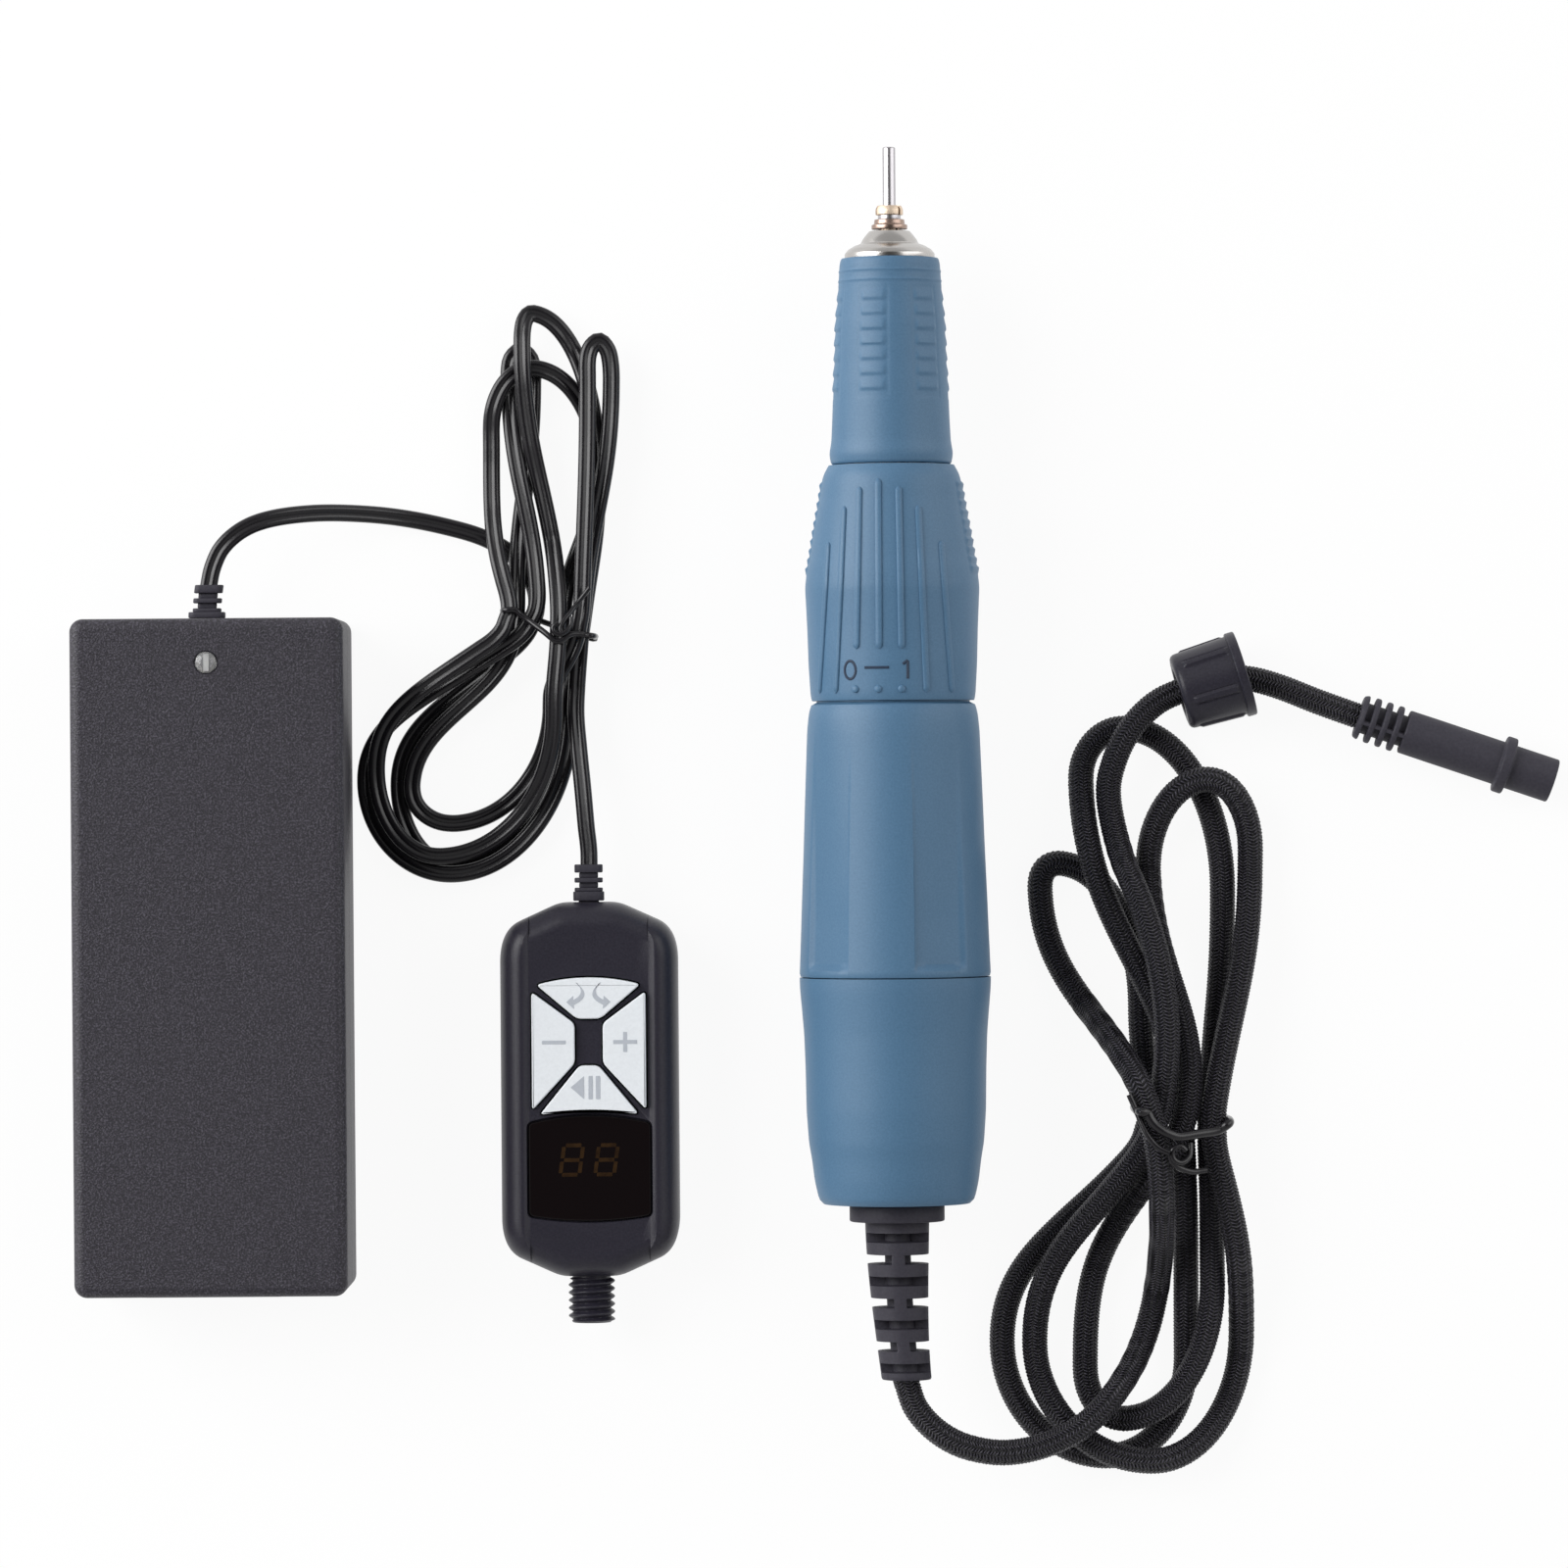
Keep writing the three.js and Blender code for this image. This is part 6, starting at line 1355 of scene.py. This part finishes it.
def cross(x, y, long, tall, half):
    """A plus sign: twelve corners, each arm as thick as the other."""
    quarter = [(long, half), (half, half), (half, tall)]
    corners = quarter + [(-a, b) for a, b in reversed(quarter)]
    return shifted(corners + [(-a, -b) for a, b in corners], x, y)


def arrow(side):
    """A crescent that thickens to a head, on the left or the right."""
    start, outer_end, inner_end = (2.3, 10.8), (2.75, 6.65), (2.75, 7.6)
    outer = bowed(start, outer_end, 1.8, 14)
    inner = bowed(start, inner_end, 1.15, 14)
    crescent = [start, *outer, outer_end, inner_end, *reversed(inner)]
    head = [(2.65, 5.95), (4.1, 7.2), (2.8, 8.35)]
    return [[(side * x, y) for x, y in outline] for outline in (crescent, head)]


make_controller()
for key_name, key_outline in KEYS.items():
    make_key(key_name, key_outline)

symbol("minus_mark", "minus", [bar(-6.4, -0.2, 2.2, 0.34)])
symbol("plus_mark", "plus", [cross(6.7, -0.2, 2.2, 1.85, 0.37)])
symbol("run_mark", "run", [
    rounded_polygon([(-3.4, -8.5), (-0.9, -10.7), (-0.9, -6.4)], 0.15, 2),
    bar(0.3, -8.55, 0.41, 2.15), bar(1.65, -8.55, 0.41, 2.15),
])
for side_name, side in (("left", -1), ("right", 1)):
    crescent, head = arrow(side)
    symbol(f"direction_mark_{side_name}", "direction", [crescent])
    symbol(f"direction_head_{side_name}", "direction", [head])

pane_levels = [(16.5, 0), (17.45, 0), (17.57, 0.05), (17.6, 0.16)]
new_piece("window_pane", *slab(GLASS, pane_levels), ["display_window"], "set", "dark_window", CONTROLLER)


def digit_outlines(x, y):
    """The seven strokes of an eight, leaning to the right."""
    strokes = []
    half_w, half_h, slim = 1.75, 1.35, 0.36
    for dy in (-2 * half_h, 0, 2 * half_h):
        strokes.append(bar(0, dy, half_w - 0.32, slim, 0.16))
    for dx in (-half_w, half_w):
        for dy in (-half_h, half_h):
            strokes.append(bar(dx, dy, slim, half_h - 0.3, 0.16))
    return [[(x + px + 0.14 * py, y + py) for px, py in stroke] for stroke in strokes]


for number, x in enumerate((-3.3, 3.1)):
    parts = [slab(outline, [(17.5, 0), (17.62, 0)]) for outline in digit_outlines(x, -12.8)]
    new_piece(f"window_digit_{number + 1}", *joined(parts), (), "set", None, CONTROLLER, look="digit")


THREAD = {"end": -8.7, "length": 8.5, "pitch": 1.42, "root": 3.52, "depth": 0.78, "rows": 108}


def make_spigot():
    outer, end, rows_count = 4.1, THREAD["end"], THREAD["rows"]
    rows = [(3.1, end), (3.5, end)]
    rows += [(outer, end + THREAD["length"] * k / rows_count) for k in range(1, rows_count + 1)]
    rows += [(outer, 0), (outer, 2.4), (4.7, 2.4), (4.7, 3.9), (3.1, 3.9)]

    def relief(angle, along, radius):
        if radius != outer or along > 0:
            return radius
        wave = 0.5 + 0.5 * math.cos(2 * math.pi * (along / THREAD["pitch"] - angle / (2 * math.pi)))
        return THREAD["root"] + THREAD["depth"] * wave ** 0.8 * within(along, end, -0.3, 0.5, 0.4)

    place = CONTROLLER @ Matrix.Translation((0, -34.5, 9))
    turned_piece(
        "threaded_spigot", rows, 128, ["outlet_spigot"], "black_gloss", relief, place=place, smooth=50,
    )


make_spigot()

# Mains power box

BOX = {"half_x": 25, "half_y": 62, "height": 31, "wall": 2}
LAMP_Y = 53.9


def make_adaptor():
    look = {"slot": "black_plastic", "place": ADAPTOR}
    wall, height = BOX["wall"], BOX["height"]
    outline = rounded_rectangle(BOX["half_x"], BOX["half_y"], 2.4, 10)
    room = rounded_rectangle(BOX["half_x"] - wall, BOX["half_y"] - wall, 2.2, 6)
    top = slab(outline, edge_levels(15.65, height, 1.9, 1.9, 8), 0.12)
    bottom = slab(outline, list(reversed(edge_levels(15.35, 0, 0.9, 0.9, 5))))
    cover = new_piece("adaptor_top_shell", *top, ["adaptor_cover"], **look)
    base = new_piece("adaptor_bottom_shell", *bottom, ["adaptor_base"], **look)
    eye = circle_points(0, LAMP_Y, 2.05, 2.05, 40)[:-1]
    eye_levels = [(26, 0), (30.8, 0), (31.1, -0.3), (33, -0.3)]
    cutters = {
        cover: [cutter(room, [(13, 0), (height - wall, 0)], ADAPTOR), cutter(eye, eye_levels, ADAPTOR)],
        base: [cutter(room, [(wall, 0), (18, 0)], ADAPTOR)],
    }
    cord, inlet = Matrix.Translation((-0.8, 61, 15.5)), Matrix.Translation((0, -61, 15.5))
    for piece, tools in cutters.items():
        tools.append(port_cutter(ADAPTOR @ cord, *CORD_PORT))
        tools.append(port_cutter(ADAPTOR @ inlet, 13.3, 9.5, 1.2, 4, 5))
        carve(piece, tools)


def make_lens():
    place = ADAPTOR @ Matrix.Translation((0, LAMP_Y, 0)) @ Matrix.Rotation(math.pi / 2, 4, "X")
    profile = [(0, 25.2), (2, 25.2), (2, 27.7), (2.7, 27.7), (2.7, 28.7), (2, 28.7)]
    profile += [(1.96 * math.cos(math.pi / 24 * k), 31 + 0.9 * math.sin(math.pi / 24 * k)) for k in range(12)]
    profile += [(0, 31.9)]
    turned_piece("lamp_dome", profile, 64, ["lamp_lens"], "clear_plastic", place=place)
    cup = [(0, 29.7), (1.1, 29.7), (1.75, 30.5), (1.75, 30.55), (1.0, 29.85), (0, 29.85)]
    turned_piece("lamp_cup", cup, 48, (), None, place=place, look="polished_nose")
    die = slab(bar(0, LAMP_Y, 0.42, 1.35, 0.2), [(29.8, 0), (30.3, 0)])
    new_piece("lamp_die", *die, (), "set", None, ADAPTOR, look="white_plastic")


make_adaptor()
make_lens()

# Plug and union nut

PLUG_WEB = 15
PLUG_RIBS = {"count": 4, "pitch": 2.24, "width": 1.1, "root": 2.9, "crest": 4.3}


def plug_relief(angle, along, radius):
    """A web along the top and the bottom links the ribs of the sleeve."""
    if not 0.5 < along < 9.2 or radius < 2.8:
        return radius
    away = min(abs(angle_from(angle, math.radians(PLUG_WEB) + turn)) for turn in (0, math.pi)) * 4
    return radius + max(0, 4.1 - radius) * ridge(away, 0.55, 0.25)


def make_plug():
    root, crest = PLUG_RIBS["root"], PLUG_RIBS["crest"]
    rows = [(0, 0), (3.9, 0)]
    for k in range(PLUG_RIBS["count"]):
        start = k * PLUG_RIBS["pitch"]
        end = start + PLUG_RIBS["width"]
        if k:
            rows += [(root, start, False), (crest, start)]
        rows += [(crest, end), (root, end, False)]
    rows += [(root, 8.9, False), (4.1, 8.9), (4.12, 15), (4.1, 27.6), (5.35, 27.6), (5.35, 29.6), (4.1, 29.6)]
    rows += [(4.1, 38.1), (3.2, 38.1), (3.2, 30.1), (0, 30.1)]
    profile = filleted(rows, 0.42, 5)
    turned_piece("plug_moulding", profile, 200, ["plug_body"], "dark_rubber", plug_relief, place=PLUG_PLACE)


NUT_STRIPS = {"pitch": 60, "turn": 18.5, "half": 0.7, "height": 0.32, "groove": 0.14}


def nut_relief(angle, along, radius):
    """Six narrow strips along the nut, each between two fine grooves."""
    if radius < 6.9 or not 1.5 < along < 10.9:
        return radius
    strips = NUT_STRIPS
    half = strips["pitch"] / 2
    sector = (math.degrees(angle) - strips["turn"] + half) % strips["pitch"] - half
    away = math.radians(abs(sector)) * 7.4
    groove = strips["groove"] * ridge(abs(away - 0.95), 0.2, 0.15)
    raised = strips["height"] * ridge(away, strips["half"], 0.2)
    return radius + (raised - groove) * within(along, 1.9, 10.5, 0.4, 0.4)


def make_nut():
    outer = [(5.9, 0), (6.4, 0.08), (6.8, 0.34), (7.03, 0.75), (7.1, 1.2)]
    outer += [(7.1 + 0.4 * k / 32, 1.2 + 9.7 * k / 32) for k in range(1, 33)]
    outer += [(7.85, 10.95), (8, 11.15), (8, 12.5), (7.85, 12.7)]
    inner = [(5.8, 12.7), (5.6, 12.5), (5.6, 2.2), (4.5, 2.2), (4.5, 0.2), (4.7, 0)]
    turned_piece(
        "knurled_nut", outer + inner, 360, ["union_nut"], "black_gloss", nut_relief, "union_nut_body",
        NUT_PLACE,
    )


make_plug()
make_nut()

# Floor and light


def add_floor():
    """A white floor that looks white to the camera and in reflections, under a faint shadow."""
    reach = 3
    corners = [(-reach, -reach, 0), (reach, -reach, 0), (reach, reach, 0), (-reach, reach, 0)]
    mesh = bpy.data.meshes.new("floor")
    mesh.from_pydata(corners, [], [(0, 1, 2, 3)])
    floor = bpy.data.objects.new("floor", mesh)
    floor.location.z = -0.0002
    scene.collection.objects.link(floor)
    material = bpy.data.materials.new("floor_white")
    material.use_nodes = True
    tree = material.node_tree
    shader = tree.nodes["Principled BSDF"]
    shader.inputs["Base Color"].default_value = (0.97, 0.97, 0.97, 1)
    shader.inputs["Roughness"].default_value = 0.9
    shader.inputs["Specular IOR Level"].default_value = 0
    glow = tree.nodes.new("ShaderNodeEmission")
    rays = tree.nodes.new("ShaderNodeLightPath")
    share = seen_share(tree, rays, FLOOR_GLOW)
    mixed = tree.nodes.new("ShaderNodeMixShader")
    tree.links.new(share, mixed.inputs["Fac"])
    tree.links.new(shader.outputs["BSDF"], mixed.inputs[1])
    tree.links.new(glow.outputs["Emission"], mixed.inputs[2])
    tree.links.new(mixed.outputs["Shader"], tree.nodes["Material Output"].inputs["Surface"])
    mesh.materials.append(material)


def seen_share(tree, rays, share):
    """The share for camera, glossy and transmission rays, and 0 for the rest."""
    value = rays.outputs["Is Camera Ray"]
    for name in ("Is Glossy Ray", "Is Transmission Ray"):
        add = tree.nodes.new("ShaderNodeMath")
        add.operation = "ADD"
        add.use_clamp = True
        tree.links.new(value, add.inputs[0])
        tree.links.new(rays.outputs[name], add.inputs[1])
        value = add.outputs["Value"]
    scale = tree.nodes.new("ShaderNodeMath")
    scale.operation = "MULTIPLY"
    scale.inputs[1].default_value = share
    tree.links.new(value, scale.inputs[0])
    return scale.outputs["Value"]


def add_area(name, place, target, size, power):
    data = bpy.data.lights.new(name, "AREA")
    data.shape = "RECTANGLE"
    data.size, data.size_y = size
    data.energy = power
    lamp = bpy.data.objects.new(name, data)
    lamp.location = place
    lamp.rotation_euler = (Vector(target) - Vector(place)).to_track_quat("-Z", "Y").to_euler()
    scene.collection.objects.link(lamp)


def add_world():
    """A white room with a dark patch overhead, where the camera hangs."""
    world = bpy.data.worlds.new("studio")
    world.use_nodes = True
    tree = world.node_tree
    background = tree.nodes["Background"]
    background.inputs["Strength"].default_value = WORLD_LEVEL
    place = tree.nodes.new("ShaderNodeTexCoord")
    split = tree.nodes.new("ShaderNodeSeparateXYZ")
    ramp = tree.nodes.new("ShaderNodeValToRGB")
    levels = [(0.55, 1), (0.84, 0.75), (0.95, 0.2), (1, 0.04)]
    set_stops(ramp.color_ramp, [(position, (level, level, level, 1)) for position, level in levels])
    tree.links.new(place.outputs["Generated"], split.inputs["Vector"])
    tree.links.new(split.outputs["Z"], ramp.inputs["Fac"])
    tree.links.new(ramp.outputs["Color"], background.inputs["Color"])
    scene.world = world


FLOOR_GLOW = 0.93
WORLD_LEVEL = 0.52
SET_MIDDLE = (0.04, 0, 0)

add_floor()
add_world()
add_area("left_softbox", (-1.4, 0.6, 0.75), SET_MIDDLE, (1.2, 2.2), 44)
add_area("right_softbox", (1.5, 0.6, 0.75), SET_MIDDLE, (1, 2.2), 12)

scene.view_settings.view_transform = "Standard"
